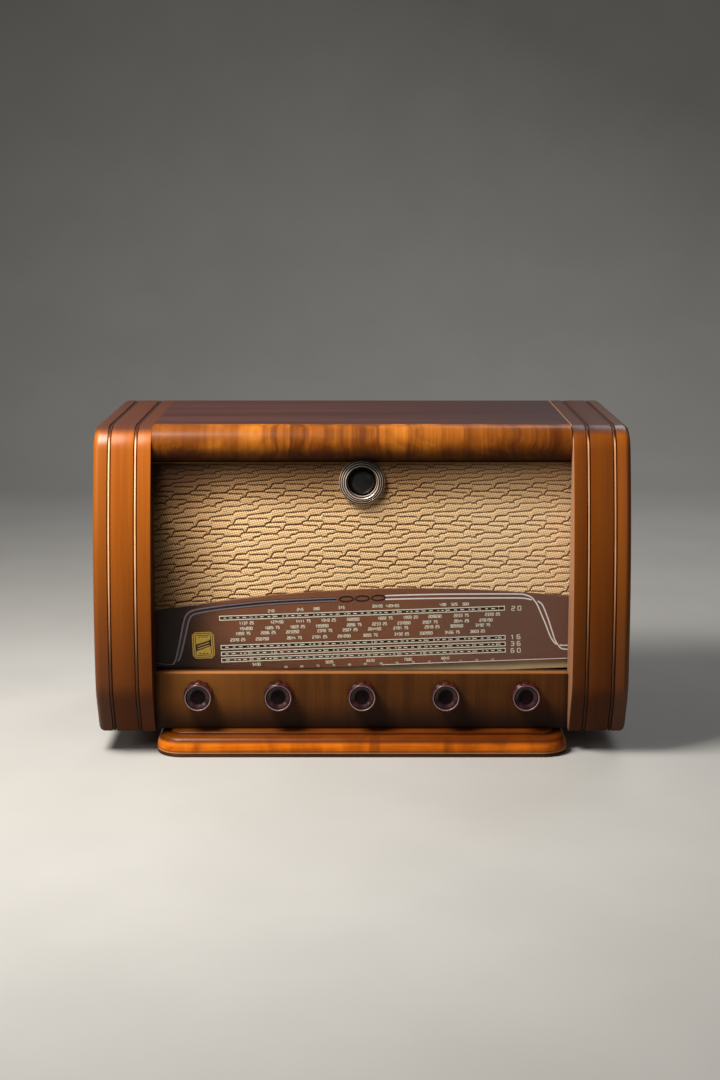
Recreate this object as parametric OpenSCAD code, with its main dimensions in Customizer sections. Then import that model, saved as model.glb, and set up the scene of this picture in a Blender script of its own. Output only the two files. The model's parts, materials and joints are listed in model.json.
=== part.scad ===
// Table radio receiver with curved walnut pillars, a cloth front, a magic eye and an arched dial.
// Millimetres. +Z is up and the front faces -Y. The origin is the middle of the base's footprint.

/* [Cabinet] */
// Width over the two side panels
cab_w = 560; // [540:1:600]
// Depth from the foremost line of the pillars to the back edge
cab_d = 285; // [280:1:310]
// Height of the body above the plinth
cab_h = 323; // [320:1:340]
// Thickness of each side panel
side_t = 14.9; // [12:0.1:18]
// Width of each pillar, measured inwards from its side panel
pillar_w = 45.8; // [40:0.1:50]
// Depth of the pillars' front posts
post_d = 41; // [38:0.5:42]
// Thickness of the pillars where they run over the top
strip_t = 14; // [12:0.5:16]
// Thickness of the top panel
top_t = 12; // [8:0.5:14]
// Thickness of the bottom board
bottom_t = 9; // [8:0.5:12]

/* [Pillar curve] */
// Radius of the long bow of the front
front_r = 760; // [700:10:900]
// Height of the bow's foremost line above the bottom of the body
bow_h = 83; // [78:1:92]
// Radius from the front to the top
crown_r = 32; // [26:1:38]
// Radius at the foot of the front
toe_r = 60; // [55:1:65]
// Radius of the outer edge of the side panels
edge_r = 7; // [4:0.5:9]

/* [Beads] */
// Width of the grooves in the pillars
groove_w = 4.2; // [3.6:0.1:5]
// Depth of the grooves
groove_d = 2; // [1.5:0.1:2.5]
// Width of the bead inlaid in each groove
bead_w = 2.1; // [1.6:0.1:2.6]
// Distance of the inner groove from the pillar's inner face
groove_in = 16.2; // [12:0.1:18]

/* [Front] */
// Radius of the half-round rail
rail_r = 19.2; // [17:0.1:20]
// Distance of the rail's centre behind the foremost line
rail_set = 55; // [52:1:58]
// Distance of the knob panel's face behind the foremost line
panel_set = 29; // [27:0.5:29]
// Height of the knob panel's ledge above the bottom of the body
ledge_h = 62; // [60:1:63]
// Distance of the baffle board's face behind the foremost line
baffle_set = 49.2; // [49.2:0.1:50]
// Thickness of the baffle board
baffle_t = 10; // [9:0.5:10]

/* [Plinth] */
// Width of the plinth
plinth_w = 437; // [420:1:438]
// Depth of the plinth
plinth_d = 250; // [240:1:260]
// Thickness of the plinth's moulded board
plinth_t = 17.4; // [16:0.2:18]
// Height of the thin base board under it
base_h = 2.6; // [2:0.2:4]
// Radius of the plinth's corners in plan
plinth_r = 28; // [24:1:32]
// Setback of the base board from the plinth's edge
base_in = 0.6; // [0.4:0.1:2]
// Height of the step between the plinth and the body
step_h = 3; // [2:0.5:4]

/* [Dial] */
// Angle by which the dial's right end stands higher
dial_tilt = 2.1; // [0:0.1:2.2]
// Height of the middle of the dial
dial_mid = 125; // [124:1:126]
// Height of the arch above the middle of the dial
dial_rise = 47.2; // [45:0.1:48]
// Depth of the lower edge below the middle of the dial
dial_drop = 37; // [36:0.5:38]
// Radius of the arch
dial_r = 1568; // [1400:1:1800]
// Width of the dial glass
dial_w = 452; // [448:1:452]
// Thickness of the dial glass
glass_t = 2.8; // [2.5:0.1:2.8]
// Travel of the pointer
pointer_travel = 300; // [280:1:300]

/* [Magic eye] */
// Height of the eye above the ground
eye_z = 287; // [285:1:287]
// Outer diameter of its bezel
bezel_d = 48; // [46:1:48]

/* [Knobs] */
// Diameter of the knobs
knob_d = 30; // [28:0.5:32]
// Length of the knobs
knob_len = 18; // [17:0.5:18]
// Height of the knobs' axes above the bottom of the body
knob_h = 39; // [38:0.5:40]
// Distance of the inner pair from the middle
knob_x1 = 88.5; // [86:0.5:90]
// Distance of the outer pair from the middle
knob_x2 = 173.3; // [170:0.1:174]
// Number of flutes round a knob
knob_flutes = 10; // [8:1:12]

/* [Loudspeaker] */
// Diameter over the flange
spk_d = 165; // [160:1:168]
// Distance of its axis left of the middle
spk_x = 105; // [103:1:107]
// Height of its axis
spk_z = 224; // [222:1:224]

/* [Tuning drive] */
// Distance of the drum's axis right of the middle
drum_x = 110; // [108:1:112]
// Height of the drum's axis
drum_z = 186; // [186:1:188]
// Radius of the tuning spindle at the middle of the cord
bobbin_r = 5; // [4.5:0.1:5.5]
// Radius of the cord pulleys at the middle of the cord
pulley_r = 8.5; // [8:0.1:9]
// Distance of each pulley from the middle of the rail
pulley_x = 190; // [188:1:192]
// Diameter of the cord
cord_d = 0.8; // [0.7:0.05:0.9]

/* [Chassis] */
// Width of the steel tray
chassis_w = 424; // [410:1:430]
// Depth of the steel tray
chassis_d = 174; // [170:1:176]
// Height of the steel tray
chassis_h = 76; // [74:1:78]
// Thickness of the steel
sheet_t = 1.5; // [1.2:0.1:2]

/* [Hidden] */
$fn = 64;
fit = 0.05;
gap = 0.3;
lap = 0.01;

front_y = -cab_d / 2;
back_y = cab_d / 2;
board_z = plinth_t + base_h;
body_z = board_z + step_h;
top_z = body_z + cab_h;
floor_z = body_z + bottom_t;
side_x = cab_w / 2 - side_t;
open_x = side_x - pillar_w;
bow_z = body_z + bow_h;
ledge_z = body_z + ledge_h;
knob_z = body_z + knob_h;
rail_z = top_z - rail_r;

bow_c = [front_y + front_r, bow_z];
crown_rise = top_z - crown_r - bow_z;
crown_c = bow_c + [-sqrt(pow(front_r - crown_r, 2) - pow(crown_rise, 2)), crown_rise];
crown_a = 180 - asin(crown_rise / (front_r - crown_r));
toe_a = 182;
toe_cut_a = 205;
toe_c = bow_c + (front_r - toe_r) * [cos(toe_a), sin(toe_a)];

groove_x = [open_x + groove_in, side_x - groove_w / 2];

panel_y = front_y + panel_set;
panel_t = post_d - panel_set;
glass_y = front_y + post_d + 0.4;
backing_t = 0.8;
backing_y = glass_y + glass_t;
needle_y = backing_y + backing_t + 0.4;
shield_y = needle_y + 1.1;
shield_t = 2.2;
baffle_y = front_y + baffle_set;
baffle_back = baffle_y + baffle_t;
cloth_t = 1.2;
cloth_x = open_x + 2.5;
rail_bottom = top_z - 2 * rail_r;

bezel_r = bezel_d / 2;
bezel_y = front_y + 41;
bezel_t = baffle_y - cloth_t - bezel_y;
eye_r = 14.3;
eye_tube_len = 66;
collar_l = 14;

knob_y = panel_y - 1.5 - knob_len;
knob_x = [-knob_x2, -knob_x1, 0, knob_x1, knob_x2];
shaft_r = 3;
shaft_y = knob_y + 7;

drum_r = pointer_travel / PI;
drum_y = baffle_back + 3.3;
drum_w = 10;
pointer_groove_y = drum_y + 2.6;
tuning_groove_y = drum_y + 7.4;
flange_h = 2;
rail_local = -48.5;
run_local = -44.5;
arm_local = -51;
pulley_local = run_local + pulley_r;
pulley_y = pointer_groove_y - 2.5;
needle_top = 26;
rail_rod_r = 1.5;
rail_len = 406;
rail_y = baffle_back + 5.3;

chassis_y = front_y + 76;
deck_z = floor_z + chassis_h;
apron_back = chassis_y + chassis_d;

gang_len = 94;
gang_y = front_y + 92;
gang_w = 68;
gang_floor = drum_z - 46;
gang_top = drum_z + 18;
rotor_r = 27;
plate_t = 1.2;
plate_pitch = 6;
plate_count = 6;
section_y = [gang_y + 8, gang_y + 52];

spk_y = baffle_back;
spk_hole_r = 69;
spk_pcd_r = 78;
magnet_y = spk_y + 43;

valve_pos = [[45, 48], [-12, 76], [-84, 60], [-146, 82], [178, 92]];
valve_len = [60, 60, 60, 74, 74];
can_pos = [[14, 8], [-50, 22]];
tap_x = [-36, 36];

// Direction of an angle in a plane
function dir(a) = [cos(a), sin(a)];

// Angle of a vector in a plane
function heading(v) = atan2(v[1], v[0]);

// A point of the dial, whose own axes are turned by the dial's tilt, in the plane of the front
function dial_point(p) = [
    p[0] * cos(dial_tilt) - p[1] * sin(dial_tilt),
    dial_mid + p[0] * sin(dial_tilt) + p[1] * cos(dial_tilt)
];

// Solid with a side outline of depth and height, from x over a width w
module side_slab(x, w) {
    translate([x, 0, 0]) rotate([90, 0, 90]) linear_extrude(w) children();
}

// Solid with a front outline of width and height, from y over a thickness t
module front_slab(y, t) {
    translate([0, y + t, 0]) rotate([90, 0, 0]) linear_extrude(t) children();
}

// Round bar along the depth
module bar_y(p, len, r) {
    translate(p) rotate([-90, 0, 0]) cylinder(h = len, r = r);
}

// Turned solid about an axis along the depth. Points are radius and depth behind p.
module turned_y(p, points) {
    translate(p) rotate([-90, 0, 0]) rotate_extrude() polygon(points);
}

// Places children in the dial's own tilted axes
module in_dial() {
    translate([0, 0, dial_mid]) rotate([0, -dial_tilt, 0]) children();
}

module both_sides() {
    children();
    mirror([1, 0, 0]) children();
}

// Waste outside a rounded corner, between two directions
module corner_waste(c, r, a1, a2) {
    reach = 3 * r;
    difference() {
        polygon([c, c + reach * dir(a1), c + 1.6 * reach * dir((a1 + a2) / 2), c + reach * dir(a2)]);
        translate(c) circle(r + lap, $fn = 96);
    }
}

// Side outline of the cabinet: flat top, round crown, long bow, round toe and a sloping cut
module cheek_2d(inset = 0) {
    difference() {
        intersection() {
            translate([front_y - 2, body_z + inset]) square([cab_d + 2, cab_h - 2 * inset]);
            translate(bow_c) circle(front_r - inset, $fn = 360);
        }
        corner_waste(crown_c, crown_r - inset, 90, crown_a);
        corner_waste(toe_c, toe_r - inset, toe_a, toe_cut_a);
        translate(toe_c) rotate(toe_cut_a) translate([toe_r - inset, -25]) square([100, 140]);
    }
}

// The part of the side outline that a pillar fills: the front post and the strip over the top
module pillar_2d(inset = 0) {
    difference() {
        cheek_2d(inset);
        translate([front_y + post_d, body_z - 1]) square([cab_d, cab_h - strip_t + 1]);
    }
}

module side_panel() {
    steps = 5;
    hull() {
        side_slab(side_x, side_t - edge_r) cheek_2d(0);
        for (i = [1 : steps]) {
            a = 90 * i / steps;
            side_slab(cab_w / 2 - edge_r * (1 - sin(a)) - 0.02, 0.02) cheek_2d(edge_r * (1 - cos(a)));
        }
    }
}

module right_side_panel() {
    color("peru") side_panel();
}

module left_side_panel() {
    color("peru") mirror([1, 0, 0]) side_panel();
}

module pillar() {
    difference() {
        side_slab(open_x, pillar_w) pillar_2d();
        for (x = groove_x) side_slab(x - groove_w / 2, groove_w + 0.01) difference() {
            cheek_2d(-2);
            cheek_2d(groove_d);
        }
    }
}

module right_pillar() {
    color("chocolate") pillar();
}

module left_pillar() {
    color("chocolate") mirror([1, 0, 0]) pillar();
}

module beads() {
    for (x = groove_x) side_slab(x - bead_w / 2, bead_w) difference() {
        pillar_2d(gap);
        cheek_2d(groove_d);
    }
}

module right_beads() {
    color("tan") beads();
}

module left_beads() {
    color("tan") mirror([1, 0, 0]) beads();
}

module top_panel() {
    joint_y = front_y + rail_set + 9;
    cleat_d = 12;
    cleat_h = 14;
    color("saddlebrown") {
        translate([-open_x, joint_y, top_z - top_t]) cube([2 * open_x, back_y - joint_y, top_t]);
        translate([-open_x + 20, back_y - 6 - cleat_d, top_z - top_t - cleat_h])
            cube([2 * open_x - 40, cleat_d, cleat_h]);
    }
}

module front_rail() {
    y = front_y + rail_set;
    color("peru") difference() {
        side_slab(-open_x, 2 * open_x) intersection() {
            union() {
                translate([y, rail_z]) circle(rail_r);
                translate([y, rail_bottom]) square([9, 2 * rail_r]);
            }
            translate([y - 2 * rail_r, rail_bottom - 1]) square([2 * rail_r + 9, 2 * rail_r + 2]);
        }
        bar_y([0, bezel_y - 1, eye_z], bezel_t + 1.5, bezel_r + gap);
    }
}

module knob_panel() {
    color("saddlebrown") difference() {
        translate([-open_x, panel_y, body_z]) cube([2 * open_x, panel_t, ledge_h]);
        for (x = knob_x) bar_y([x, panel_y - 1, knob_z], panel_t + 2, 6);
    }
}

module bottom_board() {
    color("burlywood") difference() {
        translate([-side_x, front_y + post_d, body_z])
            cube([2 * side_x, cab_d - post_d - 6, bottom_t]);
        for (p = foot_pos()) translate([p[0], p[1], body_z - 1]) cylinder(h = bottom_t + 2, r = 2.2);
        for (x = cover_screw_x()) bar_y([x, back_y - 26, body_z + bottom_t / 2], 30, 1.65);
    }
}

// Board with a rounded outline in plan, inset from the plinth's edge
module plinth_2d(inset) {
    r = plinth_r - inset;
    w = plinth_w / 2 - plinth_r;
    y1 = front_y + plinth_r;
    y2 = front_y + plinth_d - plinth_r;
    union() {
        for (x = [-w, w]) for (y = [y1, y2]) translate([x, y]) circle(r);
        translate([-w - r, y1]) square([2 * (w + r), y2 - y1]);
        translate([-w, y1 - r]) square([2 * w, y2 - y1 + 2 * r]);
    }
}

// The moulded board: a lip over a groove, a quarter-round face and the step that carries the body
module plinth() {
    lip_z = 3.8;
    face_z = 5.4;
    steps = 6;
    slice = 0.02;
    color("chocolate") {
        hull() for (i = [0 : steps]) {
            a = 90 * i / steps;
            translate([0, 0, face_z + (board_z - face_z - slice) * sin(a)]) linear_extrude(slice)
                plinth_2d(7 * (1 - cos(a)), $fn = 48);
        }
        translate([0, 0, base_h]) linear_extrude(face_z - base_h + lap) plinth_2d(2.2, $fn = 48);
        translate([0, 0, lip_z]) linear_extrude(face_z - lip_z + lap) plinth_2d(0.3, $fn = 48);
        translate([0, 0, board_z - lap]) linear_extrude(step_h + lap) plinth_2d(16, $fn = 48);
    }
}

module plinth_base() {
    color("sienna") linear_extrude(base_h) plinth_2d(base_in);
}

function foot_pos() = [
    for (x = [-1, 1]) for (y = [chassis_y + 20, apron_back - 20]) [x * (chassis_w / 2 + 8), y]
];

function cover_screw_x() = [-225, -75, 75, 225];

// Outline of the dial in its own axes, grown by g
module dial_2d(g = 0) {
    intersection() {
        translate([-dial_w / 2 - g, -dial_drop - g]) square([dial_w + 2 * g, 120]);
        translate([0, dial_rise - dial_r]) circle(dial_r + g, $fn = 720);
    }
}

// The dial's outline in the plane of the front
module dial_front_2d(g = 0) {
    translate([0, dial_mid]) rotate(dial_tilt) dial_2d(g);
}

// Everything below a line that runs parallel to the dial's lower edge
module below_dial_2d(z) {
    translate([0, dial_mid]) rotate(dial_tilt) translate([-400, z - 200]) square([800, 200]);
}

lamp_x = 214;
lamp_z = 122;

module baffle_board() {
    color("burlywood") difference() {
        front_slab(baffle_y, baffle_t) difference() {
            translate([-side_x, floor_z]) square([2 * side_x, rail_bottom - gap - floor_z]);
            below_dial_2d(-47);
            translate([-spk_x, spk_z]) circle(spk_hole_r);
            translate([0, eye_z]) circle(eye_r + 2.7);
            for (x = [-lamp_x, lamp_x]) translate([x, lamp_z]) circle(8);
            for (a = [45 : 90 : 315]) translate([-spk_x, spk_z] + spk_pcd_r * dir(a)) circle(2.2);
        }
        for (a = [45 : 90 : 315]) {
            p = [-spk_x, spk_z] + spk_pcd_r * dir(a);
            bar_y([p[0], baffle_y - 1, p[1]], 4.2, 4.6);
        }
    }
}

// Fillets behind the pillars, grooved to hold the ends of the glass
module glass_fillets() {
    inner = open_x + 2.7;
    color("saddlebrown") difference() {
        both_sides() translate([inner, front_y + post_d, floor_z])
            cube([40, baffle_set - post_d, top_z - strip_t - floor_z]);
        front_slab(glass_y - 0.1, glass_t + backing_t + 0.2) dial_front_2d(0.2);
    }
}

module back_cover() {
    x = side_x - 0.3;
    cover_t = 3;
    z1 = body_z + 2;
    z2 = top_z - strip_t - 0.3;
    color("sienna") front_slab(back_y - 6, cover_t) difference() {
        translate([-x, z1]) square([2 * x, z2 - z1]);
        for (row = [0 : 4]) for (col = [-10 : 10]) {
            translate([col * 22, z2 - 40 - row * 22]) circle(4.5);
        }
        for (col = [-10 : 10]) translate([col * 22, z1 + 100]) circle(4.5);
        for (cx = tap_x) translate([cx - 26, floor_z + 26]) square([52, 28]);
        translate([120, floor_z + 40]) circle(19);
        translate([-140, floor_z + 40]) circle(11);
        for (cx = cover_screw_x()) translate([cx, body_z + bottom_t / 2]) circle(2.1);
        for (cx = [-150, 0, 150]) translate([cx, top_z - top_t - 7]) circle(2.1);
    }
}

module cover_screw(x, z) {
    turned_y([x, back_y - 3, z], [[0, -14], [1.6, -12], [1.6, 0], [4.5, 0], [3.6, 1.6], [0, 2.2]]);
}

module back_screws() {
    color("silver") {
        for (x = cover_screw_x()) cover_screw(x, body_z + bottom_t / 2);
        for (x = [-150, 0, 150]) intersection() {
            cover_screw(x, top_z - top_t - 7);
            translate([x - 5, back_y - 6, top_z - 30]) cube([10, 6, 30]);
        }
    }
}

// Cloth over the baffle, down to the arch of the dial
module speaker_cloth() {
    color("wheat") front_slab(baffle_y - cloth_t, cloth_t) difference() {
        translate([-cloth_x, dial_mid]) square([2 * cloth_x, rail_bottom - 0.6 - dial_mid]);
        dial_front_2d(-3);
        translate([0, eye_z]) circle(eye_r + 2);
    }
}

// Stepped bezel with a cone that runs in to the eye
module eye_bezel() {
    step = 1.5;
    color("darkgoldenrod") turned_y([0, bezel_y, eye_z], [
        [bezel_r, bezel_t], [bezel_r, 4.2], [bezel_r - 0.6, 3.4], [bezel_r - step, 3.2],
        [bezel_r - step - 0.5, 1.9], [bezel_r - 2 * step - 0.4, 1.7],
        [bezel_r - 2 * step - 0.9, 0.4], [bezel_r - 3 * step - 0.3, 0], [bezel_r - 3 * step - 1, 0.3],
        [bezel_r - 3 * step - 3.4, 3.4], [eye_r + 1, 3.6], [eye_r + 0.7, bezel_t]
    ]);
}

// Glass envelope with a domed window, and its eight-pin base
module magic_eye_tube() {
    base_y = eye_tube_len;
    color("darkslategray") difference() {
        turned_y([0, bezel_y + 3.4, eye_z], [
            [0, 0], [7, 0.5], [11, 1.7], [13.4, 3.8], [eye_r, 7], [eye_r, base_y - 8],
            [12, base_y - 2], [12, base_y], [16.5, base_y], [16.5, base_y + 17], [4, base_y + 17],
            [4, base_y + 28], [0, base_y + 28]
        ]);
        bar_y([0, bezel_y + 3.4 + base_y + 10, eye_z + 4.6], 20, 1);
    }
    color("silver") for (a = [0 : 45 : 315]) {
        bar_y([8.7 * cos(a), bezel_y + 3.4 + base_y + 17, eye_z + 8.7 * sin(a)], 11, 1.2);
    }
}

// Flanged collar that holds the eye tube behind the baffle
module eye_collar() {
    r = eye_r + 0.1;
    color("dimgray") turned_y([0, baffle_back, eye_z], [
        [r, 0], [20, 0], [20, 1.4], [r + 2.6, 1.6], [r + 2.4, collar_l], [r, collar_l]
    ]);
}

module dial_glass() {
    color([0.3, 0.2, 0.16, 0.6]) front_slab(glass_y, glass_t) dial_front_2d();
}

// Heights of the dial's four scale windows, from the middle of the dial
bar_rows = [21, -11, -18.2, -25];

// Brown lacquered sheet with a slot behind each scale
module dial_backing() {
    color([0.25, 0.13, 0.08]) front_slab(backing_y, backing_t) difference() {
        dial_front_2d();
        translate([0, dial_mid]) rotate(dial_tilt) for (z = bar_rows) {
            translate([-151, z - 1.2]) square([302, 2.4]);
        }
    }
}

// Painted strip behind the lower edge of the glass
module light_shield() {
    color("darkkhaki") front_slab(shield_y, shield_t) difference() {
        translate([-cloth_x, floor_z]) square([2 * cloth_x, 103 - floor_z]);
        below_dial_2d(-47);
    }
}

module dial_lamps() {
    for (x = [-lamp_x, lamp_x]) {
        color("silver") turned_y([x, baffle_back, lamp_z], [
            [0, 4], [5.4, 4], [5.4, 0], [7, 0], [7, 14], [4.5, 16], [0, 16]
        ]);
        color("lightyellow") turned_y([x, baffle_back - 7, lamp_z], [
            [0, 0], [3, 1], [4.9, 4], [4.9, 6], [4, 9], [4, 11], [0, 11]
        ]);
    }
}

// Needle behind the glass, its arm under the baffle, and the carriage on the rail
module pointer() {
    x = -pointer_travel / 2;
    carriage_d = 6.6;
    color("black") in_dial() {
        translate([x - 0.5, needle_y, arm_local]) cube([1, 0.6, needle_top - arm_local]);
        translate([x - 2.5, needle_y, arm_local]) cube([5, baffle_back + 2.2 - needle_y, 1.5]);
    }
    color("gray") in_dial() difference() {
        translate([x - 8, baffle_back + 2, arm_local]) cube([16, carriage_d, 7.6]);
        translate([x - 9, rail_y, rail_local]) rotate([0, 90, 0]) cylinder(h = 18, r = rail_rod_r + fit);
        translate([x - 9, pointer_groove_y - 1, run_local - 1]) cube([18, 2, 5]);
    }
}

// Steel rod that guides the pointer, its two end brackets and the pulleys' pins
module pointer_rail() {
    color("silver") in_dial() {
        translate([-rail_len / 2, rail_y, rail_local]) rotate([0, 90, 0])
            cylinder(h = rail_len, r = rail_rod_r);
        for (s = [-1, 1]) translate([s * (rail_len / 2 + 0.75) - 0.75, baffle_back, rail_local - 4])
            cube([1.5, 8, 20]);
        for (s = [-1, 1]) {
            bar_y([s * pulley_x, baffle_back, pulley_local], pulley_y + 6.3 - baffle_back, 2);
            bar_y([s * pulley_x, pulley_y + 5.1, pulley_local], 1.2, 3.6);
            bar_y([s * pulley_x, baffle_back, pulley_local], pulley_y - 0.1 - baffle_back, 3.6);
        }
    }
}

// Grooved wheel for a cord whose middle runs at radius r
module cord_wheel(r, bore_r, w) {
    floor_r = r - cord_d / 2 - 0.4;
    rim_r = r + 1.8;
    rotate([-90, 0, 0]) rotate_extrude() polygon([
        [bore_r, 0], [rim_r, 0], [rim_r, 0.6], [floor_r, 0.3 * w], [floor_r, 0.7 * w],
        [rim_r, w - 0.6], [rim_r, w], [bore_r, w]
    ]);
}

module pulley(s) {
    color("goldenrod") in_dial() translate([s * pulley_x, pulley_y, pulley_local])
        cord_wheel(pulley_r, 2 + fit, 5);
}

module left_pulley() {
    pulley(-1);
}

module right_pulley() {
    pulley(1);
}

// Round cord along a list of points: rings of eight points, joined into one closed skin
module cord(path) {
    sides = 8;
    n = len(path);
    function tangent(i) = let (d = path[min(i + 1, n - 1)] - path[max(i - 1, 0)]) d / norm(d);
    function ring(i) = let (t = tangent(i), v = [0, 1, 0], u = cross(v, t) / norm(cross(v, t)), w = cross(t, u))
        [for (k = [0 : sides - 1]) path[i] + cord_d / 2 * (cos(360 * k / sides) * u + sin(360 * k / sides) * w)];
    points = [for (i = [0 : n - 1]) each ring(i)];
    skin = [for (i = [0 : n - 2]) for (k = [0 : sides - 1])
        let (a = i * sides + k, b = i * sides + (k + 1) % sides) each
        [[a, b, b + sides], [a, b + sides, a + sides]]];
    start = [for (k = [1 : sides - 2]) [0, k + 1, k]];
    end = [for (k = [1 : sides - 2]) let (e = (n - 1) * sides) [e, e + k, e + k + 1]];
    polyhedron(points, concat(skin, start, end));
}

// Points of an arc in the plane of the front
function arc(c, r, a1, a2, step = 12) = let (n = ceil(abs(a2 - a1) / step))
    [for (i = [0 : n]) c + r * dir(a1 + (a2 - a1) * i / n)];

// Gives a flat path a depth that changes steadily from y1 to y2
function lay(path, y1, y2) = let (n = len(path) - 1)
    [for (i = [0 : n]) [path[i][0], y1 + (y2 - y1) * i / n, path[i][1]]];

drum_c = [drum_x, drum_z];
left_c = dial_point([-pulley_x, pulley_local]);
right_c = dial_point([pulley_x, pulley_local]);

// Direction of the line from circle 1 to circle 2 that crosses between them
function cross_line(c1, r1, c2, r2, s) = heading(c2 - c1) + s * asin((r1 + r2) / norm(c2 - c1));

// Direction of the line from circle 1 to circle 2 that passes outside both
function outer_line(c1, r1, c2, r2, s) = heading(c2 - c1) + s * asin((r2 - r1) / norm(c2 - c1));

// From the drum over the left pulley, along the rail with the pointer, over the right pulley and back
function pointer_path() = let (
    l = cross_line(left_c, pulley_r, drum_c, drum_r, -1),
    r = cross_line(drum_c, drum_r, right_c, pulley_r, 1)
) concat(
    arc(drum_c, drum_r, 0, l - 90, 6),
    arc(left_c, pulley_r, l + 90, 270 + dial_tilt, 30),
    arc(right_c, pulley_r, -90 + dial_tilt, r + 90, 30),
    arc(drum_c, drum_r, r - 90, -175, 6)
);

// From the drum round the tuning spindle and back
function tuning_path() = let (
    c = [0, knob_z],
    up = outer_line(c, bobbin_r, drum_c, drum_r, 1),
    low = outer_line(c, bobbin_r, drum_c, drum_r, -1)
) concat(
    arc(drum_c, drum_r, 65, up + 90, 6),
    arc(c, bobbin_r, up + 90, low + 270 + 360, 30),
    arc(drum_c, drum_r, low - 90, 15, 6)
);

module drive_cords() {
    color("ivory") {
        cord(lay(pointer_path(), pointer_groove_y - 0.6, pointer_groove_y + 0.6));
        cord(lay(tuning_path(), tuning_groove_y - 0.7, tuning_groove_y + 0.7));
    }
}

// Pressed basket with six windows
module speaker_frame() {
    r = spk_d / 2;
    color("gray") difference() {
        turned_y([-spk_x, spk_y, spk_z], [
            [r, 0], [r, 2], [73.3, 2], [37, 39], [37, 43], [14, 43], [14, 41], [35, 41], [35, 38.2],
            [71.8, 1.4], [71.8, 0]
        ]);
        for (a = [0 : 60 : 300]) {
            p = [-spk_x, spk_z] + 54 * dir(a);
            bar_y([p[0], spk_y + 5, p[1]], 34, 11);
        }
        for (a = [45 : 90 : 315]) {
            p = [-spk_x, spk_z] + spk_pcd_r * dir(a);
            bar_y([p[0], spk_y - 1, p[1]], 5, 2.2);
        }
    }
}

module speaker_magnet() {
    color("dimgray") turned_y([-spk_x, magnet_y, spk_z], [
        [0, -10], [9.5, -10], [9.5, 0], [33, 0], [33, 5], [31, 6], [31, 24], [33, 25], [33, 30], [28, 33], [0, 33]
    ]);
}

// Paper cone with its rim, dust cap and voice coil
module speaker_cone() {
    color("black") turned_y([-spk_x, spk_y, spk_z], [
        [0, 20], [7, 21], [11, 23.5], [13, 27], [40, 13.5], [64, 1.8], [68, 1.6], [68, 2.6], [64.5, 3],
        [40.5, 14.8], [13.4, 28.4], [12.2, 29], [12.2, 40], [11.2, 40], [11.2, 26.6], [7, 23], [0, 22]
    ]);
}

module mounting_bolts() {
    color("silver") {
        for (a = [45 : 90 : 315]) {
            p = [-spk_x, spk_z] + spk_pcd_r * dir(a);
            turned_y([p[0], baffle_y + 0.2, p[1]], [
                [0, 0], [4.3, 0], [4.3, 1], [2, 3], [2, 16.5], [0, 16.5]
            ]);
            translate([p[0], spk_y + 2, p[1]]) rotate([-90, 0, 0]) difference() {
                cylinder(h = 3, r = 4, $fn = 6);
                translate([0, 0, -1]) cylinder(h = 5, r = 2);
            }
        }
        for (p = foot_pos()) translate([p[0], p[1], floor_z - bottom_t + 1]) {
            cylinder(h = bottom_t + sheet_t - 0.5, r = 2);
            translate([0, 0, bottom_t + sheet_t - 1]) cylinder(h = 2.6, r = 4.5);
        }
    }
}

// Folded steel tray, open below, with flanges that stand on the bottom board
module chassis() {
    w = chassis_w / 2;
    color("silver") difference() {
        union() {
            translate([-w, chassis_y, floor_z]) cube([2 * w, chassis_d, chassis_h]);
            translate([-w - 16, chassis_y, floor_z]) cube([2 * w + 32, chassis_d, sheet_t]);
            bar_y([0, chassis_y - 2, knob_z], 12, 6);
        }
        difference() {
            translate([-w + sheet_t, chassis_y + sheet_t, floor_z - 1])
                cube([2 * (w - sheet_t), chassis_d - 2 * sheet_t, chassis_h - sheet_t + 1]);
            bar_y([0, chassis_y - 2, knob_z], 12, 6);
        }
        bar_y([0, chassis_y - 3, knob_z], 14, shaft_r + fit);
        for (i = [0, 1, 3, 4]) bar_y([knob_x[i], chassis_y - 1, knob_z], sheet_t + 2, 5.2);
        for (p = foot_pos()) translate([p[0], p[1], floor_z - 1]) cylinder(h = sheet_t + 2, r = 2.2);
        for (p = valve_pos) translate([p[0], p[1], deck_z - 3]) cylinder(h = 5, r = 10.2);
        bar_y([-140, apron_back - 3, floor_z + 40], 5, 6.2);
        for (x = tap_x) translate([x - 16, apron_back - 3, floor_z + 35]) cube([32, 5, 10]);
    }
}

// Frame of the gang capacitor on four posts
module gang_frame() {
    x1 = drum_x - gang_w / 2;
    plate = 2;
    color("silver") {
        difference() {
            union() {
                translate([x1, gang_y, gang_floor]) cube([gang_w, gang_len, plate]);
                for (y = [gang_y, gang_y + gang_len - plate])
                    translate([x1, y, gang_floor]) cube([gang_w, plate, gang_top - gang_floor]);
            }
            bar_y([drum_x, gang_y - 1, drum_z], gang_len + 2, 4 + fit);
        }
        for (x = [x1 + 8, x1 + gang_w - 8]) for (y = [gang_y + 10, gang_y + gang_len - 10])
            translate([x, y, deck_z]) cylinder(h = gang_floor - deck_z, r = 4);
    }
}

// Fixed plates, carried by two insulated bars
module gang_stator() {
    color("silver") for (s = section_y) for (i = [0 : plate_count - 2]) {
        front_slab(s + plate_t / 2 + plate_pitch / 2 + i * plate_pitch, plate_t) difference() {
            translate([drum_x - 30, drum_z - 34]) square([60, 32]);
            translate([drum_x, drum_z]) circle(8);
        }
    }
    color("tan") for (x = [drum_x - 33, drum_x + 30])
        translate([x, gang_y + 2, drum_z - 30]) cube([3, gang_len - 4, 5]);
}

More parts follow.
